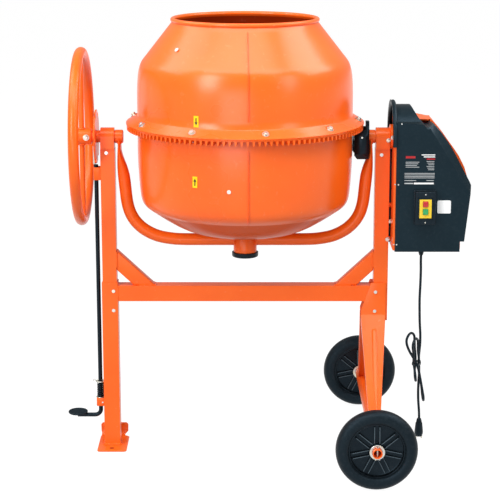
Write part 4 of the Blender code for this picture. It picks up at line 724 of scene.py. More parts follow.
# ------------------------------------------------------------------ pedal rod
# A black coated steel rod down the left post, bent out at the bottom to carry the pedal.
# Two folded orange brackets guide it, and the upper one is notched for the lock pin.
black_coat = moulded("black_powder_coat", "#060a0d", "#0c1115", 0.28, 0.38, 420.0, 0.0002, 0.02)
rod_x, rod_radius, elbow, foot_travel = drum_x - 0.4145, 0.006, 0.017, 0.018
rod_low, rod_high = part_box("pedal_rod")
bar_z, elbow_x = rod_low.z + rod_radius, rod_x - elbow
line = [(rod_x, 0, rod_high.z + (bar_z + elbow - rod_high.z) * i / 60) for i in range(61)]
line += [(elbow_x + elbow * math.cos(a), 0, bar_z + elbow - elbow * math.sin(a))
         for a in (math.radians(7.5 * i) for i in range(1, 13))]
line += [(elbow_x + (rod_low.x - elbow_x) * i / 12, 0, bar_z) for i in range(1, 13)]
rod = bmesh.new()
sweep_along(rod, line, rod_radius, 24)
eased_edges(rod, 0.0008, 2, math.degrees(1.0))
fitted(finished("pedal_rod_bent", rod, black_coat, smooth=40), "pedal", "pedal_rod", "pedal_rod")
for node in ("upper_rod_bracket", "lower_rod_bracket"):
    low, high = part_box(node)
    if node == "upper_rod_bracket":
        low.x += 0.0040
        high.z += 0.0120
    centre, size = (low + high) / 2, high - low
    bracket = bmesh.new()
    block(bracket, centre, size)
    opened = [f for f in bracket.faces if abs(f.normal.z) > 0.9 or f.normal.x > 0.9]
    bmesh.ops.delete(bracket, geom=opened, context="FACES_ONLY")
    upright = [e for e in bracket.edges if abs(e.verts[0].co.z - e.verts[1].co.z) > 0.01
               and e.verts[0].co.x < centre.x]
    rounded(bracket, upright, 0.0045, 4)
    faced(bracket, lambda faces: min(faces, key=lambda f: f.calc_center_median().x), (-1, 0, 0))
    if node == "upper_rod_bracket":
        pin_low, pin_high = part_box("lock_pin")
        notch_y, notch_z = pin_high.y + 0.0012, pin_low.z - foot_travel - 0.0015
        for place, way in (((0, notch_y, 0), (0, 1, 0)), ((0, -notch_y, 0), (0, 1, 0)),
                           ((0, 0, notch_z), (0, 0, 1))):
            bmesh.ops.bisect_plane(bracket, geom=bracket.verts[:] + bracket.edges[:] + bracket.faces[:],
                                   plane_co=place, plane_no=way, dist=1e-6)
        cut_out = [f for f in bracket.faces if abs(f.calc_center_median().y) < notch_y
                   and f.calc_center_median().z > notch_z and f.calc_center_median().x < centre.x]
        bmesh.ops.delete(bracket, geom=cut_out, context="FACES")
    bmesh.ops.solidify(bracket, geom=list(bracket.faces), thickness=0.0025)
    eased_edges(bracket, 0.0006, 2, 40)
    fitted(finished(node + "_folded", bracket, orange), "frame", node, node)
guide_bolts = bmesh.new()
bracket_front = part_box("lower_rod_bracket")[0].y
dome_bolt(guide_bolts, (drum_x - 0.4078, bracket_front - 0.0001, 0.1285), (0, -1, 0), 0.0040, 0.0028)
fitted(finished("rod_guide_screw", guide_bolts, zinc), "frame", "lock_pin")

# ------------------------------------------------------------------ lock pin and spring
# A zinc pin stands on the rod beside the disc. The black wound spring stands between two zinc
# washers; on the real mixer the foot presses it short and it lifts the rod again when the foot comes off.
softened("lock_pin", "pedal", 0.0008, zinc, segments=2, above=60)
spring = bmesh.new()
spring_low, spring_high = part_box("return_spring")
turns, wire, coil, steps = 7.5, 0.0018, 0.0086, 208
rise = spring_high.z - spring_low.z - 2 * wire
line = [(rod_x + coil * math.cos(2 * math.pi * turns * i / steps),
         coil * math.sin(2 * math.pi * turns * i / steps), spring_low.z + wire + rise * i / steps)
        for i in range(steps + 1)]
sweep_along(spring, line, wire, 10)
wound = fitted(finished("return_spring_wound", spring, black_coat, smooth=60), "frame", "return_spring",
               "return_spring")
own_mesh(wound)
washers = bmesh.new()
turned(washers, [(0.0064, 0.1868), (0.0128, 0.1868), (0.0133, 0.1873), (0.0133, 0.1883), (0.0128, 0.1888),
                 (0.0064, 0.1888)], (rod_x, 0, 0), (0, 0, 1), 48)
sweep_along(washers, [(rod_x - 0.0150 + 0.0013 * i, -0.001, 0.1910 + 0.00012 * i) for i in range(22)],
            0.0010, 10)
loop = [(rod_x - 0.0172 + 0.0026 * math.cos(a), -0.001, 0.1908 + 0.0026 * math.sin(a))
        for a in (math.radians(18 * i) for i in range(20))]
sweep_along(washers, loop, 0.0009, 8, closed=True)
fitted(finished("spring_washer_and_pin", washers, zinc), "pedal", "lock_pin")
seat = bmesh.new()
turned(seat, [(0.0066, 0.1411), (0.0122, 0.1411), (0.0126, 0.1413), (0.0122, 0.1421), (0.0066, 0.1421)],
       (rod_x, 0, 0), (0, 0, 1), 48)
fitted(finished("spring_seat_washer", seat, zinc), "frame", "lock_pin")

# ------------------------------------------------------------------ foot pad
# A thin oval rubber tread bonded on the rod's end, with a raised rim and a grid of small
# round studs for grip.
pad_rubber = moulded("ribbed_pad_rubber", "#0d1519", "#141e24", 0.50, 0.66, 600.0, 0.0003, 0.06)
pad_low, pad_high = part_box("foot_pad")
pad_centre = (pad_low + pad_high) / 2
half_x, half_y = (pad_high.x - pad_low.x) / 2, (pad_high.y - pad_low.y) / 2
pad = bmesh.new()
thick = pad_high.z - pad_low.z
turned(pad, [(0.0, 0.0), (0.94, 0.0), (0.985, thick * 0.25), (1.0, thick * 0.6), (0.985, thick * 0.9),
             (0.96, thick), (0.93, thick), (0.90, thick * 0.80), (0.88, thick * 0.66), (0.0, thick * 0.66)],
       (0, 0, 0), (0, 0, 1), 64)
bmesh.ops.scale(pad, vec=(half_x, half_y, 1), verts=pad.verts)
for row in range(-5, 6):
    for column in range(-5, 6):
        x, y = 0.0048 * column + (0.0024 if row % 2 else 0), 0.0050 * row
        if (x / half_x) ** 2 + (y / half_y) ** 2 < 0.66:
            bmesh.ops.create_cone(pad, cap_ends=True, segments=10, radius1=0.0016, radius2=0.0011,
                                  depth=0.0012,
                                  matrix=Matrix.Translation((x, y, thick * 0.66 + 0.0005)))
bmesh.ops.translate(pad, verts=pad.verts, vec=(pad_centre.x, pad_centre.y, pad_low.z))
fitted(finished("foot_pad_tread", pad, pad_rubber, smooth=40), "pedal", "foot_pad", "foot_pad")

# ------------------------------------------------------------------ drum shells
# Two shells of 2.5 mm sheet, a deep drawn bottom and a rolled barrel and cone. The bottom
# shell's top laps inside the upper one's flange. A darker coat inside both shells, and under
# the bottom one, where it also reflects less, is painted shade.


def drum_coat(name="drum_powder_coat", tone="#f35d10", light="#fb6b1c", tint="#fff1ea", ior=1.46):
    """The drum's powder coat: the same orange in a thicker, glossier layer, with the long
    soft waves that a spun and rolled sheet shows in its reflections."""
    material, tree = start_material(name)
    place = add(tree, "TexCoord").outputs["Object"]
    cloud = add(tree, "TexNoise", {"Vector": place, "Scale": 5.0, "Detail": 3.0})
    shift = add(tree, "MapRange", {"Value": cloud.outputs["Fac"], "From Min": 0.2, "From Max": 0.8})
    base = add(tree, "Mix", {0: shift.outputs[0], 6: colour(tone), 7: colour(light)},
               data_type="RGBA")
    fine = add(tree, "TexNoise", {"Vector": place, "Scale": 80.0, "Detail": 5.0})
    dust = add(tree, "MapRange", {"Value": fine.outputs["Fac"], "From Min": 0.62, "From Max": 0.75,
                                  "To Max": 0.10})
    base = add(tree, "Mix", {0: dust.outputs[0], 6: base.outputs[2], 7: colour("#f3b598")},
               data_type="RGBA")
    rough = add(tree, "MapRange", {"Value": cloud.outputs["Fac"], "To Min": 0.23, "To Max": 0.34})
    waves = add(tree, "TexNoise", {"Vector": place, "Scale": 22.0, "Detail": 1.0})
    peel = add(tree, "TexNoise", {"Vector": place, "Scale": 300.0, "Detail": 1.5})
    height = add(tree, "Math", {0: waves.outputs["Fac"], 1: 1.2, 2: peel.outputs["Fac"]},
                 operation="MULTIPLY_ADD")
    bump = add(tree, "Bump", {"Height": height.outputs[0], "Strength": 0.12, "Distance": 0.0006})
    coat = add(tree, "BsdfPrincipled", {"Base Color": base.outputs[2], "Roughness": rough.outputs[0],
                                        "IOR": ior, "Coat Weight": 0.15 if ior > 1.3 else 0.0,
                                        "Coat Roughness": 0.18, "Specular Tint": colour(tint),
                                        "Normal": bump.outputs[0]})
    add(tree, "OutputMaterial", {"Surface": coat.outputs[0]})
    return material


drum_orange = drum_coat()
# A darker copy of the drum's coat paints the shade inside the drum.
inner_painted_shade_coat = drum_coat("painted_shade_inner_drum_coat", "#a83208", "#b83b0b")
underside_painted_shade_coat = drum_coat("painted_shade_underside_drum_coat", "#dd5010", "#e65c18", "#ffc8a0", 1.14)
outside, inside_face, underside = 0, 1, 2
sheet, shell_steps, bottom_z = 0.0025, 168, 0.627
belly = [(0.0550, 0.6270), (0.0900, 0.6278), (0.1200, 0.6300), (0.1420, 0.6335), (0.1600, 0.6385),
         (0.1780, 0.6455), (0.2000, 0.6566), (0.2250, 0.6718), (0.2450, 0.6850), (0.2620, 0.6966),
         (0.2700, 0.7020), (0.2762, 0.7068), (0.2810, 0.7118), (0.2846, 0.7172), (0.2870, 0.7232),
         (0.2888, 0.7300), (0.2905, 0.7400), (0.2928, 0.7640), (0.2945, 0.7900), (0.2958, 0.8120),
         (0.2968, 0.8350), (0.2972, 0.8700), (0.2968, 0.9000), (0.2960, 0.9260)]
lower = bmesh.new()
inside = [(r - (sheet if z > 0.70 else sheet * 0.3), z + (0.0 if z > 0.715 else sheet)) for r, z in belly]
lip = [(0.2966, 0.9305), (0.2990, 0.9332), (0.3270, 0.9334), (0.3284, 0.9342), (0.3284, 0.9353),
       (0.3270, 0.9358), (0.2932, 0.9358), (0.2931, 0.9620), (0.2925, 0.9629), (0.2912, 0.9629),
       (0.2906, 0.9620)]
turned(lower, [(0.0103, bottom_z)] + belly + lip + inside[::-1] + [(0.0103, bottom_z + sheet)],
       (drum_x, 0, 0), (0, 0, 1), shell_steps)


def inner_side(shape):
    """Mark the faces that look in at the drum's middle, for a darker coat that paints their shade."""
    bmesh.ops.recalc_face_normals(shape, faces=shape.faces)
    for face in shape.faces:
        middle = face.calc_center_median()
        inward = Vector((drum_x - middle.x, -middle.y, 0.95 - middle.z)).normalized()
        if face.normal.dot(inward) > 0.35 and middle.z < 1.212:
            face.material_index = inside_face


inner_side(lower)
# Downward outside faces low on the belly take a darker coat with a weaker reflection: painted shade.
for face in lower.faces:
    middle = face.calc_center_median()
    if face.material_index == outside and face.normal.z < -0.3 and middle.z < 0.6990:
        face.material_index = underside
fitted(finished("drum_lower_drawn", lower, drum_orange, inner_painted_shade_coat, underside_painted_shade_coat, smooth=40), "drum",
       "drum_lower", "drum_lower")

barrel = [(0.2970, 0.9590), (0.2971, 0.9800), (0.2970, 1.0200), (0.2962, 1.0450), (0.2945, 1.0660),
          (0.2922, 1.0810), (0.2895, 1.0920), (0.2855, 1.1020), (0.2800, 1.1105)]
(cone_r, cone_z), (mouth_r, mouth_z) = (0.2735, 1.1185), (0.2004, 1.2114)
barrel += [(cone_r + (mouth_r - cone_r) * i / 8, cone_z + (mouth_z - cone_z) * i / 8)
           for i in range(9)]
bead = [(0.198 + 0.006 * math.cos(a), 1.2181 + 0.006 * math.sin(a))
        for a in (math.radians(-70 + 20 * i) for i in range(15))]
skirt = [(0.3225, 0.9363), (0.3274, 0.9363), (0.3284, 0.9369), (0.3284, 0.9382), (0.3276, 0.9391),
         (0.2990, 0.9562)]
within = [(r - sheet * (0.98 if z < 1.08 else 0.80), z - (0.0 if z < 1.08 else sheet * 0.6))
          for r, z in barrel]
upper = bmesh.new()
turned(upper, skirt + barrel + bead + within[::-1], (drum_x, 0, 0), (0, 0, 1), shell_steps)
inner_side(upper)
fitted(finished("drum_upper_rolled", upper, drum_orange, inner_painted_shade_coat, smooth=40), "drum", "drum_upper",
       "drum_upper")

# ------------------------------------------------------------------ drum seams and bolts
# One flattened weld seam runs down each shell. Ten zinc bolts hold the flange, and four
# washer-headed bolts hold the blades' feet through the shells.


def round_drum(angle, radius, z):
    """A point on the drum from its angle in degrees, radius and height."""
    return Vector((drum_x + radius * math.cos(math.radians(angle)),
                   radius * math.sin(math.radians(angle)), z))


seams = bmesh.new()
for profile, low, high in ((belly, 0.700, 0.925), (barrel, 0.962, 1.205)):
    line = [(r, z) for r, z in profile if low <= z <= high]
    fill = []
    for (r0, z0), (r1, z1) in zip(line, line[1:]):
        steps = max(1, int(math.hypot(r1 - r0, z1 - z0) / 0.004))
        fill += [(r0 + (r1 - r0) * k / steps, z0 + (z1 - z0) * k / steps) for k in range(steps)]
    points = [round_drum(-88, r - 0.0004, z) for r, z in fill + [line[-1]]]
    sweep_along(seams, points, 0.0050, 8, flat=[(0.14, 1.0)] * len(points), lumps=0.06, seed=53)
fitted(finished("drum_weld_seams", seams, drum_orange, smooth=60), "drum", "drum_upper")

flange_bolts = bmesh.new()
bolt_count, bolt_circle = 10, 0.3125
slope = Vector((0.0171, 0.0, 0.0286)).normalized()
for k in range(bolt_count):
    angle = -8 - 360 / bolt_count * k
    way = Vector((slope.x * math.cos(math.radians(angle)), slope.x * math.sin(math.radians(angle)), slope.z))
    hexagon_bolt(flange_bolts, round_drum(angle, bolt_circle, 0.9483), way, 0.0112, 0.0098, 0.0054)
    hexagon_bolt(flange_bolts, round_drum(angle, bolt_circle, 0.9271), (0, 0, -1), 0.0088, 0.0, 0.0040)
for angle, radius, z, tilt in ((-98, 0.2952, 0.794, -0.06), (82, 0.2952, 0.794, -0.06),
                               (-136, 0.2484, 1.1518, 0.80), (44, 0.2484, 1.1518, 0.80)):
    way = Vector((math.cos(math.radians(angle)), math.sin(math.radians(angle)), tilt)).normalized()
    dome_bolt(flange_bolts, round_drum(angle, radius, z), way, 0.0092, 0.0052)
fitted(finished("drum_bolts", flange_bolts, zinc), "drum", "lock_pin")

# ------------------------------------------------------------------ direction stickers
# Small yellow vinyl stickers with a plain black arrow each, one above the flange and one
# below it, curved to the shells.


def sticker_film(name, tone, light):
    """Printed vinyl film: an even colour with faint mottling and a low satin gloss."""
    return moulded(name, tone, light, 0.30, 0.42, 500.0, 0.00006, 0.04, "#fffdf4", "#ffffff")


yellow_film = sticker_film("yellow_vinyl_film", "#f6c800", "#fbd21a")
black_print = sticker_film("black_vinyl_print", "#14130f", "#1d1b16")


def curved_patch(shape, centre, radius, outline, stand, material=0):
    """Lay a flat outline of (along, up) on the drum's wall, standing off it by stand."""
    angle, z = centre
    corners = [shape.verts.new(round_drum(angle + math.degrees(a / radius), radius + stand, z + b))
               for a, b in outline]
    shape.faces.new(corners).material_index = material


arrows = bmesh.new()
for angle, z, radius, way in ((-115.2, 0.9760, 0.2974, -1), (-116.2, 0.8150, 0.2964, 1)):
    wide, tall = 0.0070, 0.0150
    curved_patch(arrows, (angle, z), radius, [(-wide, -tall), (0, -tall), (wide, -tall), (wide, tall),
                                              (0, tall), (-wide, tall)], 0.0007)
    shaft = [(-0.0016, -way * 0.0095), (0.0016, -way * 0.0095), (0.0016, way * 0.0015),
             (0.0046, way * 0.0015), (0, way * 0.0105), (-0.0046, way * 0.0015), (-0.0016, way * 0.0015)]
    curved_patch(arrows, (angle, z), radius, shaft, 0.0010, 1)
arrow_faces = list(arrows.faces)
bmesh.ops.recalc_face_normals(arrows, faces=arrow_faces)
for face in arrow_faces:
    if face.normal.dot(face.calc_center_median() - Vector((drum_x, 0, face.calc_center_median().z))) < 0:
        face.normal_flip()
bmesh.ops.solidify(arrows, geom=arrow_faces, thickness=0.0004)
fitted(finished("direction_stickers", arrows, yellow_film, black_print), "drum", "switch_plate")

# ------------------------------------------------------------------ ring gear and pinion
# The ring's teeth are cast in one with it and coated orange with the drum. The bare cast
# pinion, its ground shaft and bronze bush carry the drive to it.


def cast_iron():
    """Grey cast iron with a film of grease: dark, grainy from the sand, glossy in patches."""
    material, tree = start_material("greased_cast_iron")
    place = add(tree, "TexCoord").outputs["Object"]
    grain = add(tree, "TexNoise", {"Vector": place, "Scale": 420.0, "Detail": 4.0})
    cloud = add(tree, "TexNoise", {"Vector": place, "Scale": 40.0, "Detail": 3.0})
    base = add(tree, "Mix", {0: cloud.outputs["Fac"], 6: colour("#2b2c2d"), 7: colour("#4a4846")},
               data_type="RGBA")
    rough = add(tree, "MapRange", {"Value": cloud.outputs["Fac"], "From Min": 0.3, "From Max": 0.7,
                                   "To Min": 0.30, "To Max": 0.62})
    bump = add(tree, "Bump", {"Height": grain.outputs["Fac"], "Strength": 0.4, "Distance": 0.0004})
    metal = add(tree, "BsdfPrincipled", {"Base Color": base.outputs[2], "Metallic": 0.8,
                                         "Roughness": rough.outputs[0], "Normal": bump.outputs[0]})
    add(tree, "OutputMaterial", {"Surface": metal.outputs[0]})
    return material


def turned_metal(name, tone, light):
    """Lathe-turned metal: fine rings about 1 mm apart and a soft directional shine."""
    material, tree = start_material(name)
    place = add(tree, "TexCoord").outputs["Object"]
    stretch = add(tree, "Mapping", {"Vector": place, "Scale": (900.0, 20.0, 20.0)})
    rings = add(tree, "TexNoise", {"Vector": stretch.outputs[0], "Scale": 1.0, "Detail": 2.0})
    base = add(tree, "Mix", {0: rings.outputs["Fac"], 6: colour(tone), 7: colour(light)},
               data_type="RGBA")
    rough = add(tree, "MapRange", {"Value": rings.outputs["Fac"], "To Min": 0.22, "To Max": 0.42})
    bump = add(tree, "Bump", {"Height": rings.outputs["Fac"], "Strength": 0.15, "Distance": 0.0002})
    metal = add(tree, "BsdfPrincipled", {"Base Color": base.outputs[2], "Metallic": 1.0,
                                         "Roughness": rough.outputs[0], "Normal": bump.outputs[0]})
    add(tree, "OutputMaterial", {"Surface": metal.outputs[0]})
    return material


def repaint(node, material):
    """Give a CAD node that keeps its own shape its real finish."""
    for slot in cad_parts[node].material_slots:
        slot.material = material


iron = cast_iron()
ground_steel = turned_metal("ground_shaft_steel", "#8d8f92", "#b9bbbd")
bronze = turned_metal("bearing_bronze", "#8f6534", "#b98a4c")
ring_low, ring_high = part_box("ring_gear")
gear = bmesh.new()
teeth, half_tooth = 132, 0.0120
band_z = ring_high.z - 0.0022
turned(gear, [(0.3025, band_z), (0.3258, band_z), (0.3265, band_z + 0.0006), (0.3265, ring_high.z),
              (0.3025, ring_high.z)], (drum_x, 0, 0), (0, 0, 1), teeth)
for k in range(teeth):
    tooth = bmesh.ops.create_cone(gear, cap_ends=True, segments=4, radius1=0.0022, radius2=0.0050,
                                  depth=band_z - ring_low.z + 0.0006,
                                  matrix=Matrix.Translation((0, 0, (band_z + ring_low.z) / 2 + 0.0003))
                                  @ Matrix.Rotation(math.radians(45), 4, "Z"))
    for vert in tooth["verts"]:
        vert.co.x = half_tooth * (1 if vert.co.x > 0 else -1)
    bmesh.ops.translate(gear, verts=tooth["verts"], vec=(0.3145, 0, 0))
    bmesh.ops.rotate(gear, verts=tooth["verts"], cent=(0, 0, 0),
                     matrix=Matrix.Rotation(2 * math.pi * (k + 0.5) / teeth, 3, "Z"))
    bmesh.ops.translate(gear, verts=tooth["verts"], vec=(drum_x, 0, 0))
fitted(finished("ring_gear_cast", gear, orange, smooth=30), "drum", "ring_gear", "ring_gear")
repaint("pinion", iron)
softened("drive_shaft", "drive", 0.0008, ground_steel, segments=2, above=60)
softened("shaft_bush", "yoke", 0.0004, bronze, segments=2, above=60)
softened("drum_spindle", "drum", 0.0008, ground_steel, segments=2, above=30)

# ------------------------------------------------------------------ mixing blades
# Two strips of 6 mm steel, bent and twisted, bolted inside the drum and coated with it.
for node in ("mixing_blade_front", "mixing_blade_rear"):
    softened(node, "drum", 0.0012, drum_orange, segments=3, above=35)

# ------------------------------------------------------------------ pinion guard
# A folded black steel cover round the pinion, with an ear up past the flange. A zinc screw
# pins it to its bracket.
guard = merged_copy("pinion_guard")
lower_fold, upper_fold = 0.8545, 0.8995
for z in (lower_fold, upper_fold):
    bmesh.ops.bisect_plane(guard, geom=list(guard.verts) + list(guard.edges) + list(guard.faces),
                           plane_co=(0, 0, z), plane_no=(0, 0, 1))
for vert in guard.verts:
    if vert.co.y < -0.030:
        vert.co.y += 0.75 * max(0.0, lower_fold - vert.co.z) + 0.22 * max(0.0, vert.co.z - upper_fold)
eased_edges(guard, 0.0010, 3, 14)
fitted(finished("pinion_guard_folded", guard, black_coat), "yoke", "pinion_guard", "pinion_guard")
guard_screws = bmesh.new()
guard_low, guard_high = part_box("pinion_guard")
for y, way in ((guard_low.y, -1), (guard_high.y, 1)):
    dome_bolt(guard_screws, (drum_x + 0.3215, y, 0.8985), (0, way, 0), 0.0042, 0.0030)
fitted(finished("guard_screws", guard_screws, zinc), "yoke", "lock_pin")

# ------------------------------------------------------------------ mounting plate
# A folded steel plate carries the motor and both covers. It stands off the right post on
# a welded boss and two spacers, and zinc bolts hold it there.
softened("mounting_plate", "frame", 0.0007, orange, segments=2, above=50)
plate_bolts = bmesh.new()
for x, y, z in ((drum_x + 0.3955, -0.0258, 0.8880), (drum_x + 0.4069, -0.0345, 0.8970),
                (drum_x + 0.4036, -0.0092, 0.6570), (drum_x + 0.3981, -0.0212, 0.6080)):
    for side in (1, -1):
        hexagon_bolt(plate_bolts, (x, y * side, z), (0, -side, 0), 0.0086, 0.0060, 0.0045)
fitted(finished("plate_bolts", plate_bolts, zinc), "frame", "lock_pin")
# A dark strip fills the gap between the right post and the plate: painted shade in the gap.
strip = bmesh.new()
post_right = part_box("right_post")[1].x
plate_left = drum_x + 0.4075
block(strip, ((post_right + plate_left) / 2, 0.004, 0.728),
      (plate_left - post_right - 0.0008, 0.016, 0.262))
eased_edges(strip, 0.0008, 2, 60)
fitted(finished("plate_gap_painted_shade_strip", strip, black_coat), "frame", "mounting_plate")
collar = bmesh.new()
turned(collar, [(0.0180, 0.3935), (0.0232, 0.3935), (0.0240, 0.3943), (0.0240, 0.4008), (0.0232, 0.4015),
                (0.0180, 0.4015)], (drum_x, 0, trunnion_z), (1, 0, 0), 64)
fitted(finished("plate_boss_collar", collar, orange), "frame", "mounting_plate")

# ------------------------------------------------------------------ motor
# A totally enclosed motor: a die-cast barrel with cooling ribs along it and a pressed fan
# cowl, screwed to a zinc plated bracket.
motor_grey = moulded("motor_enamel", "#2c3033", "#3a3f42", 0.34, 0.50, 500.0, 0.0002, 0.10)
motor_low, motor_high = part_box("motor")
start, end = motor_low.x, motor_high.x
motor_z, motor_fins = 0.700, 30
motor = bmesh.new()
turned(motor, [(0.0095, start), (0.0440, start), (0.0500, start + 0.0030), (0.0515, start + 0.0080),
               (0.0500, start + 0.0120), (0.0500, end - 0.0330), (0.0538, end - 0.0320),
               (0.0545, end - 0.0290), (0.0545, end - 0.0080), (0.0515, end - 0.0015), (0.0460, end),
               (0.0, end), (0.0, start + 0.020), (0.0095, start + 0.020)], (0, 0, motor_z), (1, 0, 0), 72)
for k in range(motor_fins):
    fin = block(motor, ((start + end) / 2 - 0.0100, 0, 0.0515), (0.0740, 0.0016, 0.0060))
    bmesh.ops.rotate(motor, verts=fin, cent=(0, 0, 0),
                     matrix=Matrix.Rotation(2 * math.pi * k / motor_fins, 3, "X"))
    bmesh.ops.translate(motor, verts=fin, vec=(0, 0, motor_z))
fitted(finished("motor_ribbed", motor, motor_grey), "frame", "motor", "motor")
softened("motor_bracket", "frame", 0.0007, zinc, segments=2, above=50)

# ------------------------------------------------------------------ pulleys and belt
# A cast pulley on the drive shaft and a small turned one on the motor, joined by a ribbed
# rubber belt.
pulley_low, pulley_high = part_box("large_pulley")
left, right = pulley_low.x, pulley_high.x
middle = (left + right) / 2
grooves = []
for i in range(6):
    x = left + 0.0016 + (right - left - 0.0032) * i / 5
    grooves += [(0.0825, x - 0.0006), (0.0825, x + 0.0002), (0.0810, x + 0.0012)]
pulley = bmesh.new()
turned(pulley, [(0.0088, left), (0.0165, left), (0.0170, left + 0.0005), (0.0185, middle - 0.0024),
                (0.0740, middle - 0.0022), (0.0762, left + 0.0004), (0.0820, left)]
       + grooves + [(0.0820, right), (0.0762, right - 0.0004), (0.0740, middle + 0.0022),
                    (0.0185, middle + 0.0024), (0.0170, right - 0.0005), (0.0165, right), (0.0088, right)],
       (0, 0, trunnion_z), (1, 0, 0), 96)
fitted(finished("large_pulley_cast", pulley, iron), "drive", "large_pulley", "large_pulley")
softened("motor_pulley", "motor_rotor", 0.0006, ground_steel, segments=2, above=60)
belt_rubber = moulded("ribbed_belt_rubber", "#14171a", "#1d2124", 0.50, 0.66, 600.0, 0.0002, 0.10)
softened("drive_belt", "frame", 0.0005, belt_rubber, segments=2, above=60)

# ------------------------------------------------------------------ front cover
# Injection-moulded black polypropylene with a fine spark-eroded texture. The round hump
# and its flared lip clear the large pulley. Small zinc screws fix its folded edge.
cover_plastic = moulded("textured_black_polypropylene", "#08151a", "#0e1c22", 0.34, 0.44, 1000.0,
                        0.0002, 0.02, "#7f8b90")


def drawn_over(shape, crease_x, crease_z, drops):
    """Bend a cover's top outline down or up by the (x, rise) steps of a smooth curve."""
    far_x = max(v.co.x for v in shape.verts)
    far_z = max(v.co.z for v in shape.verts if v.co.x > far_x - 0.001)
    for x, rise in drops[1:-1]:
        bmesh.ops.bisect_plane(shape, geom=list(shape.verts) + list(shape.edges) + list(shape.faces),
                               plane_co=(x, 0, 0), plane_no=(1, 0, 0))
    for vert in shape.verts:
        x = vert.co.x
        along = min(1.0, max(0.0, (x - crease_x) / (far_x - crease_x)))
        if x < drops[0][0] or vert.co.z < crease_z + (far_z - crease_z) * along - 0.014:
            continue
        for (x0, r0), (x1, r1) in zip(drops, drops[1:]):
            if x0 <= x <= x1 + 1e-6:
                vert.co.z += r0 + (r1 - r0) * (x - x0) / (x1 - x0)
                break


front_shell = merged_copy("front_cover")
drawn_over(front_shell, 0.4538, 0.947, [(0.4262, 0.0), (0.4300, -0.0065), (0.4345, -0.0118),
                                        (0.4400, -0.0150), (0.4480, -0.0130), (0.4550, -0.0065),
                                        (0.4610, 0.0005), (0.4713, 0.0060), (0.4820, 0.0112),
                                        (0.4930, 0.0142), (0.5040, 0.0158), (0.5150, 0.0152),
                                        (0.5260, 0.0125), (0.5370, 0.0090), (0.5480, 0.0060),
                                        (0.5588, 0.0030), (0.5642, 0.0010)])
eased_edges(front_shell, 0.0030, 3, 26)
front_piece = even_shaded(finished("front_cover_moulded", front_shell, cover_plastic, smooth=30))
fitted(front_piece, "frame", "front_cover", "front_cover")
lip = bmesh.new()
lip_x, lip_arch, lip_radius = 0.3522, 0.0962, 0.0062
arch = [(lip_x, -lip_arch * math.cos(a), trunnion_z + lip_arch * math.sin(a))
        for a in (math.pi * i / 48 for i in range(49))]
sweep_along(lip, [(lip_x, -lip_arch, 0.8800)] + arch, lip_radius, 14)
fitted(finished("front_cover_rolled_lip", lip, cover_plastic, smooth=50), "frame", "front_cover")

cover_screws = bmesh.new()
cover_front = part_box("switch_box")[1].y + 0.0003
for x, z in ((0.426, 0.943), (0.4196, 0.7754), (0.4176, 0.6076)):
    dome_bolt(cover_screws, (drum_x + x, cover_front, z), (0, -1, 0), 0.0034, 0.0022)
for x, z in ((0.4105, 0.7755), (0.4100, 0.6070)):
    dome_bolt(cover_screws, (drum_x + x, -0.0858, z), (0, -1, 0), 0.0030, 0.0018)
fitted(finished("cover_screws", cover_screws, zinc), "frame", "lock_pin")

# ------------------------------------------------------------------ rear cover
# The same cover's other half, pressed from thin steel and coated orange, stands a little
# outside the black one.
rear_shell = merged_copy("rear_cover")
drawn_over(rear_shell, 0.4609, 0.959, [(0.4100, -0.0150), (0.4423, -0.0165), (0.4520, -0.0180),
                                       (0.4600, -0.0175), (0.4740, -0.0100), (0.4900, 0.0),
                                       (0.5060, 0.0060), (0.5220, 0.0130), (0.5380, 0.0180),
                                       (0.5540, 0.0150), (0.5642, 0.0030)])
eased_edges(rear_shell, 0.0030, 3, 22)
rear_piece = even_shaded(finished("rear_cover_pressed", rear_shell, orange, smooth=32))
fitted(rear_piece, "frame", "rear_cover", "rear_cover")

# ------------------------------------------------------------------ cover labels
# Printed bars without any lettering, and a blank white sticker with rounded corners. Both
# are thin film on the front cover.


def flat_label(shape, x, z, wide, tall, y, radius=0.0, material=0, thick=0.0003):
    """A thin rectangle of film on the front face, with rounded corners if asked."""
    made = bmesh.ops.create_grid(shape, x_segments=1, y_segments=1, size=0.5,
                                 matrix=Matrix.Translation((x, y, z))
                                 @ Matrix.Rotation(math.radians(90), 4, "X")
                                 @ Matrix.Diagonal((wide, tall, 1, 1)))
    face = made["verts"][0].link_faces[0]
    if radius:
        bmesh.ops.bevel(shape, geom=made["verts"], offset=radius, offset_type="OFFSET", segments=5,
                        profile=0.5, material=-1, affect="VERTICES")
        face = [f for f in shape.faces if f.is_valid and abs(f.calc_center_median().x - x) < 1e-5
                and abs(f.calc_center_median().z - z) < 1e-5][-1]
    if face.normal.y > 0:
        face.normal_flip()
    face.material_index = material
    grown = bmesh.ops.extrude_face_region(shape, geom=[face])
    for vert in [v for v in grown["geom"] if isinstance(v, bmesh.types.BMVert)]:
        vert.co.y -= thick
    for made_face in [f for f in grown["geom"] if isinstance(f, bmesh.types.BMFace)]:
        made_face.material_index = material


white_film = sticker_film("white_vinyl_film", "#e9ebeb", "#f6f7f7")
grey_print = sticker_film("pale_grey_print", "#a9b0b2", "#c3c8ca")
red_print = sticker_film("dark_red_print", "#a3161d", "#b32229")
labels = bmesh.new()
white, grey, red = 0, 1, 2
face_y = cover_front - 0.00005
bars = [(0.4515, 0.8535, 0.0260, 0.0100, red), (0.4970, 0.8580, 0.0430, 0.0026, white),
        (0.5030, 0.8525, 0.0310, 0.0026, white), (0.5070, 0.8465, 0.0230, 0.0034, red)]
bars += [(0.4570 - 0.0016 * (k % 3), 0.8380 - 0.0046 * k, 0.0370 - 0.0032 * (k % 3), 0.0014, grey)
         for k in range(4)]
bars += [(0.5060 + 0.0012 * (k % 3), 0.8400 - 0.0046 * k, 0.0210 - 0.0024 * (k % 3), 0.0014, grey)
         for k in range(6)]
bars += [(0.4770, 0.8070 - 0.0042 * k, 0.0820, 0.0014, grey) for k in range(4)]
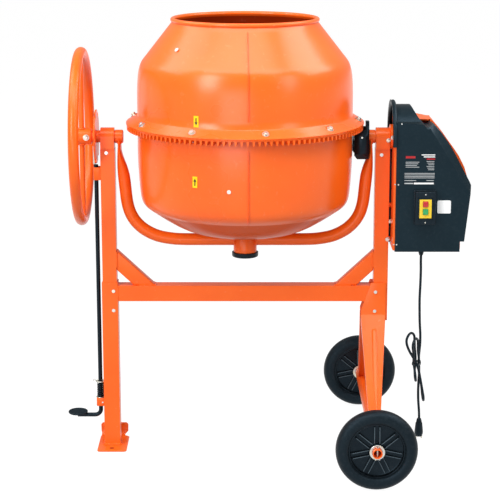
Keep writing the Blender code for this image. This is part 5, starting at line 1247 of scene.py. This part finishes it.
bars += [(0.4520, 0.7870, 0.0320, 0.0016, grey), (0.5060, 0.7870, 0.0200, 0.0016, grey),
         (0.4480, 0.7790, 0.0240, 0.0030, grey), (0.4890, 0.7790, 0.0540, 0.0046, white)]
for x, z, wide, tall, ink in bars:
    flat_label(labels, drum_x + x, z, wide, tall, face_y - 0.0002, 0.0, ink, 0.0001)
flat_label(labels, drum_x + 0.5462, 0.7135, 0.0368, 0.0362, face_y, 0.0036, white, 0.0003)
fitted(finished("cover_labels", labels, white_film, grey_print, red_print), "frame", "switch_plate")

# ------------------------------------------------------------------ switch
# A black moulded switch box with a raised frame, held by two small screws. Its yellow
# plate has a red stop button over a green start button.
switch_black = moulded("black_switch_abs", "#0b1115", "#11181d", 0.30, 0.40, 900.0, 0.00012, 0.02)
softened("switch_box", "frame", 0.0026, switch_black, segments=4, above=40)
box_low, box_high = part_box("switch_box")
switch_x, switch_z = (box_low.x + box_high.x) / 2, (box_low.z + box_high.z) / 2
trim = bmesh.new()
flange = block(trim, (switch_x, box_high.y - 0.0022, switch_z), (0.0605, 0.0044, 0.0955))
rounded(trim, edges_of(flange), 0.0016, 3)
for x, z, wide, tall in ((switch_x - 0.0188, switch_z - 0.001, 0.0034, 0.0600),
                         (switch_x + 0.0188, switch_z - 0.001, 0.0034, 0.0600),
                         (switch_x, switch_z + 0.0275, 0.0410, 0.0030),
                         (switch_x, switch_z - 0.0295, 0.0410, 0.0030)):
    bar = block(trim, (x, box_low.y - 0.0006, z), (wide, 0.0026, tall))
    rounded(trim, edges_of(bar), 0.0007, 2)
fitted(finished("switch_trim", trim, switch_black), "frame", "switch_box")
switch_screws = bmesh.new()
for z in (switch_z + 0.0385, switch_z - 0.0395):
    dome_bolt(switch_screws, (switch_x, box_low.y, z), (0, -1, 0), 0.0030, 0.0016)
fitted(finished("switch_screws", switch_screws, zinc), "frame", "lock_pin")

yellow_abs = moulded("yellow_switch_abs", "#e8c22a", "#f2d04a", 0.36, 0.48, 900.0, 0.0001, 0.08,
                     "#fff4c8", "#ffffff")
red_abs = moulded("red_button_abs", "#b3262c", "#c4383c", 0.28, 0.40, 900.0, 0.00008, 0.10,
                  "#eaa9a4", "#ffffff")
green_abs = moulded("green_button_abs", "#2f9a58", "#45ab69", 0.28, 0.40, 900.0, 0.00008, 0.10,
                    "#b6dfc2", "#ffffff")
softened("switch_plate", "frame", 0.0006, yellow_abs, segments=2, above=60)
button_travel = 0.0025
for node, material in (("red_button", red_abs), ("green_button", green_abs)):
    low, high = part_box(node)
    high.y = box_low.y - button_travel - 0.0001
    button = bmesh.new()
    block(button, (low + high) / 2, high - low)
    front = min(button.faces, key=lambda f: f.calc_center_median().y)
    rounded(button, [e for e in button.edges if front in e.link_faces
                     or abs(e.verts[0].co.y - e.verts[1].co.y) > 1e-4], 0.0014, 4, clamp=True)
    front = min(button.faces, key=lambda f: f.calc_center_median().y)
    bmesh.ops.inset_region(button, faces=[front], thickness=0.0016, depth=-0.0004)
    fitted(finished(node + "_cap", button, material), node, node, node)

# ------------------------------------------------------------------ cord gland
# A tapered rubber sleeve with bend-relief rings, screwed up into the housing's floor.
cord_thick = 0.0072
cord_pvc = moulded("black_cord_pvc", "#090f12", "#10171b", 0.34, 0.46, 900.0, 0.00012, 0.03)
gland_low, gland_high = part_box("cord_gland")
gland_x, gland_y = (gland_low.x + gland_high.x) / 2, (gland_low.y + gland_high.y) / 2
gland = bmesh.new()
top = gland_high.z
taper = [(0.0, top), (0.0092, top), (0.0100, top - 0.0008), (0.0100, top - 0.0062),
         (0.0090, top - 0.0075)]
for i in range(5):
    z = top - 0.0088 - 0.0026 * i
    radius = 0.0086 - 0.00062 * i
    taper += [(radius, z + 0.0008), (radius, z - 0.0006), (radius - 0.0010, z - 0.0009),
              (radius - 0.0010, z - 0.0015)]
taper += [(0.0050, gland_low.z + 0.0002), (0.0037, gland_low.z), (0.0, gland_low.z)]
turned(gland, taper, (gland_x, gland_y, 0), (0, 0, 1), 48)
fitted(finished("cord_gland_ribbed", gland, cord_pvc, smooth=40), "frame", "cord_gland", "cord_gland")

# ------------------------------------------------------------------ power cord
# Black PVC mains lead, 7.2 mm thick: it drops from the gland, folds twice into a hank held
# by a tie, and its tail drops to the plug.
fold_points = [
    (0.0000, 0.0000, 0.5644),
    (0.0000, 0.0000, 0.5450), (0.0005, -0.0010, 0.5200), (0.0000, -0.0010, 0.4800),
    (-0.0010, 0.0000, 0.4400), (0.0000, 0.0030, 0.4000), (0.0020, 0.0100, 0.3650),
    (0.0050, 0.0180, 0.3300), (0.0055, 0.0220, 0.3000), (0.0030, 0.0200, 0.2700),
    (0.0020, 0.0160, 0.2450), (0.0030, 0.0180, 0.2220), (0.0070, 0.0210, 0.2000),
    (0.0115, 0.0225, 0.1780), (0.0135, 0.0215, 0.1620), (0.0145, 0.0185, 0.1515),
    (0.0153, 0.0105, 0.1438), (0.0155, 0.0000, 0.1410), (0.0153, -0.0105, 0.1438),
    (0.0145, -0.0185, 0.1515), (0.0130, -0.0215, 0.1620), (0.0095, -0.0220, 0.1800),
    (0.0040, -0.0185, 0.2100), (-0.0020, -0.0170, 0.2380), (-0.0130, -0.0185, 0.2640),
    (-0.0280, -0.0215, 0.2900), (-0.0360, -0.0220, 0.3100), (-0.0370, -0.0195, 0.3240),
    (-0.0315, -0.0130, 0.3350), (-0.0245, -0.0045, 0.3390), (-0.0180, 0.0040, 0.3360),
    (-0.0130, 0.0105, 0.3280), (-0.0115, 0.0130, 0.3140), (-0.0105, 0.0120, 0.2920),
    (-0.0085, 0.0080, 0.2700), (-0.0080, 0.0085, 0.2520), (-0.0085, 0.0160, 0.2340),
    (-0.0083, 0.0210, 0.2200), (-0.0080, 0.0183, 0.2095), (-0.0077, 0.0105, 0.2018),
    (-0.0075, 0.0000, 0.1990), (-0.0080, -0.0105, 0.2018), (-0.0093, -0.0183, 0.2095),
    (-0.0105, -0.0208, 0.2200), (-0.0125, -0.0140, 0.2360), (-0.0145, -0.0065, 0.2520),
    (-0.0148, -0.0050, 0.2680), (-0.0165, -0.0115, 0.2840), (-0.0190, -0.0195, 0.3000),
    (-0.0185, -0.0180, 0.3110), (-0.0150, -0.0120, 0.3190), (-0.0100, -0.0025, 0.3225),
    (-0.0050, 0.0070, 0.3190), (-0.0017, 0.0135, 0.3110), (-0.0012, 0.0150, 0.3000),
    (-0.0010, 0.0110, 0.2820), (0.0010, 0.0030, 0.2640), (0.0015, -0.0020, 0.2450),
    (0.0020, -0.0020, 0.2200), (0.0010, -0.0020, 0.1950), (0.0005, -0.0020, 0.1700),
    (0.0015, -0.0010, 0.1400), (0.0040, 0.0000, 0.1120), (0.0050, 0.0000, 0.0940),
    (0.0050, 0.0000, 0.0860),
]
route = [Vector((gland_x + x, gland_y + y, z)) for x, y, z in fold_points]
padded = [route[0] * 2 - route[1]] + route + [route[-1] * 2 - route[-2]]
smooth_route = through(padded, 5) + [route[-1]]
curve = bpy.data.curves.new("power_cord_lead", "CURVE")
curve.dimensions, curve.bevel_depth, curve.bevel_resolution = "3D", cord_thick / 2, 5
curve.use_fill_caps = True
line = curve.splines.new("POLY")
line.points.add(len(smooth_route) - 1)
for spot, point in zip(line.points, smooth_route):
    spot.co = (*point, 1.0)
line.use_smooth = True
curve.materials.append(cord_pvc)
cord = bpy.data.objects.new("power_cord_lead", curve)
bpy.context.scene.collection.objects.link(cord)
fitted(cord, "frame", "power_cord", "power_cord")

# ------------------------------------------------------------------ cord tie and plug
# A soft plastic strap round the hank, and a moulded rubber plug with a ribbed grip and two
# nickel pins, hanging on the lead's end.
strap = softened("cord_tie", "frame", 0.0005, cord_pvc, segments=2, above=60)
nickel = zinc_plate("nickel_plated_pins", "#c9c7c0")
plug_low, plug_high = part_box("plug")
plug_x, plug_y = (plug_low.x + plug_high.x) / 2, (plug_low.y + plug_high.y) / 2
top = plug_high.z
plug = bmesh.new()
grip = [(0.0, top), (0.0052, top), (0.0060, top - 0.0008)]
for i in range(3):
    z = top - 0.0030 - 0.0032 * i
    grip += [(0.0066 + 0.0007 * i, z + 0.0009), (0.0068 + 0.0007 * i, z - 0.0009),
             (0.0058 + 0.0007 * i, z - 0.0012), (0.0060 + 0.0007 * i, z - 0.0019)]
grip += [(0.0094, top - 0.0125), (0.0100, top - 0.0160), (0.0106, top - 0.0220), (0.0114, top - 0.0290),
         (0.0121, top - 0.0360), (0.0124, top - 0.0410), (0.0119, top - 0.0450), (0.0108, top - 0.0480),
         (0.0100, plug_low.z + 0.0080), (0.0, plug_low.z + 0.0080)]
turned(plug, grip, (plug_x, plug_y, 0), (0, 0, 1), 56)
fitted(finished("plug_moulded", plug, cord_pvc, smooth=40), "frame", "plug", "plug")
pins = bmesh.new()
for side in (-1, 1):
    turned(pins, [(0.0, plug_low.z + 0.0100), (0.0024, plug_low.z + 0.0100), (0.0024, plug_low.z + 0.0012),
                  (0.0014, plug_low.z + 0.0002), (0.0, plug_low.z)],
           (plug_x + side * 0.0080, plug_y, 0), (0, 0, 1), 24)
plug_pins = fitted(finished("plug_pins", pins, nickel), "frame", "plug")
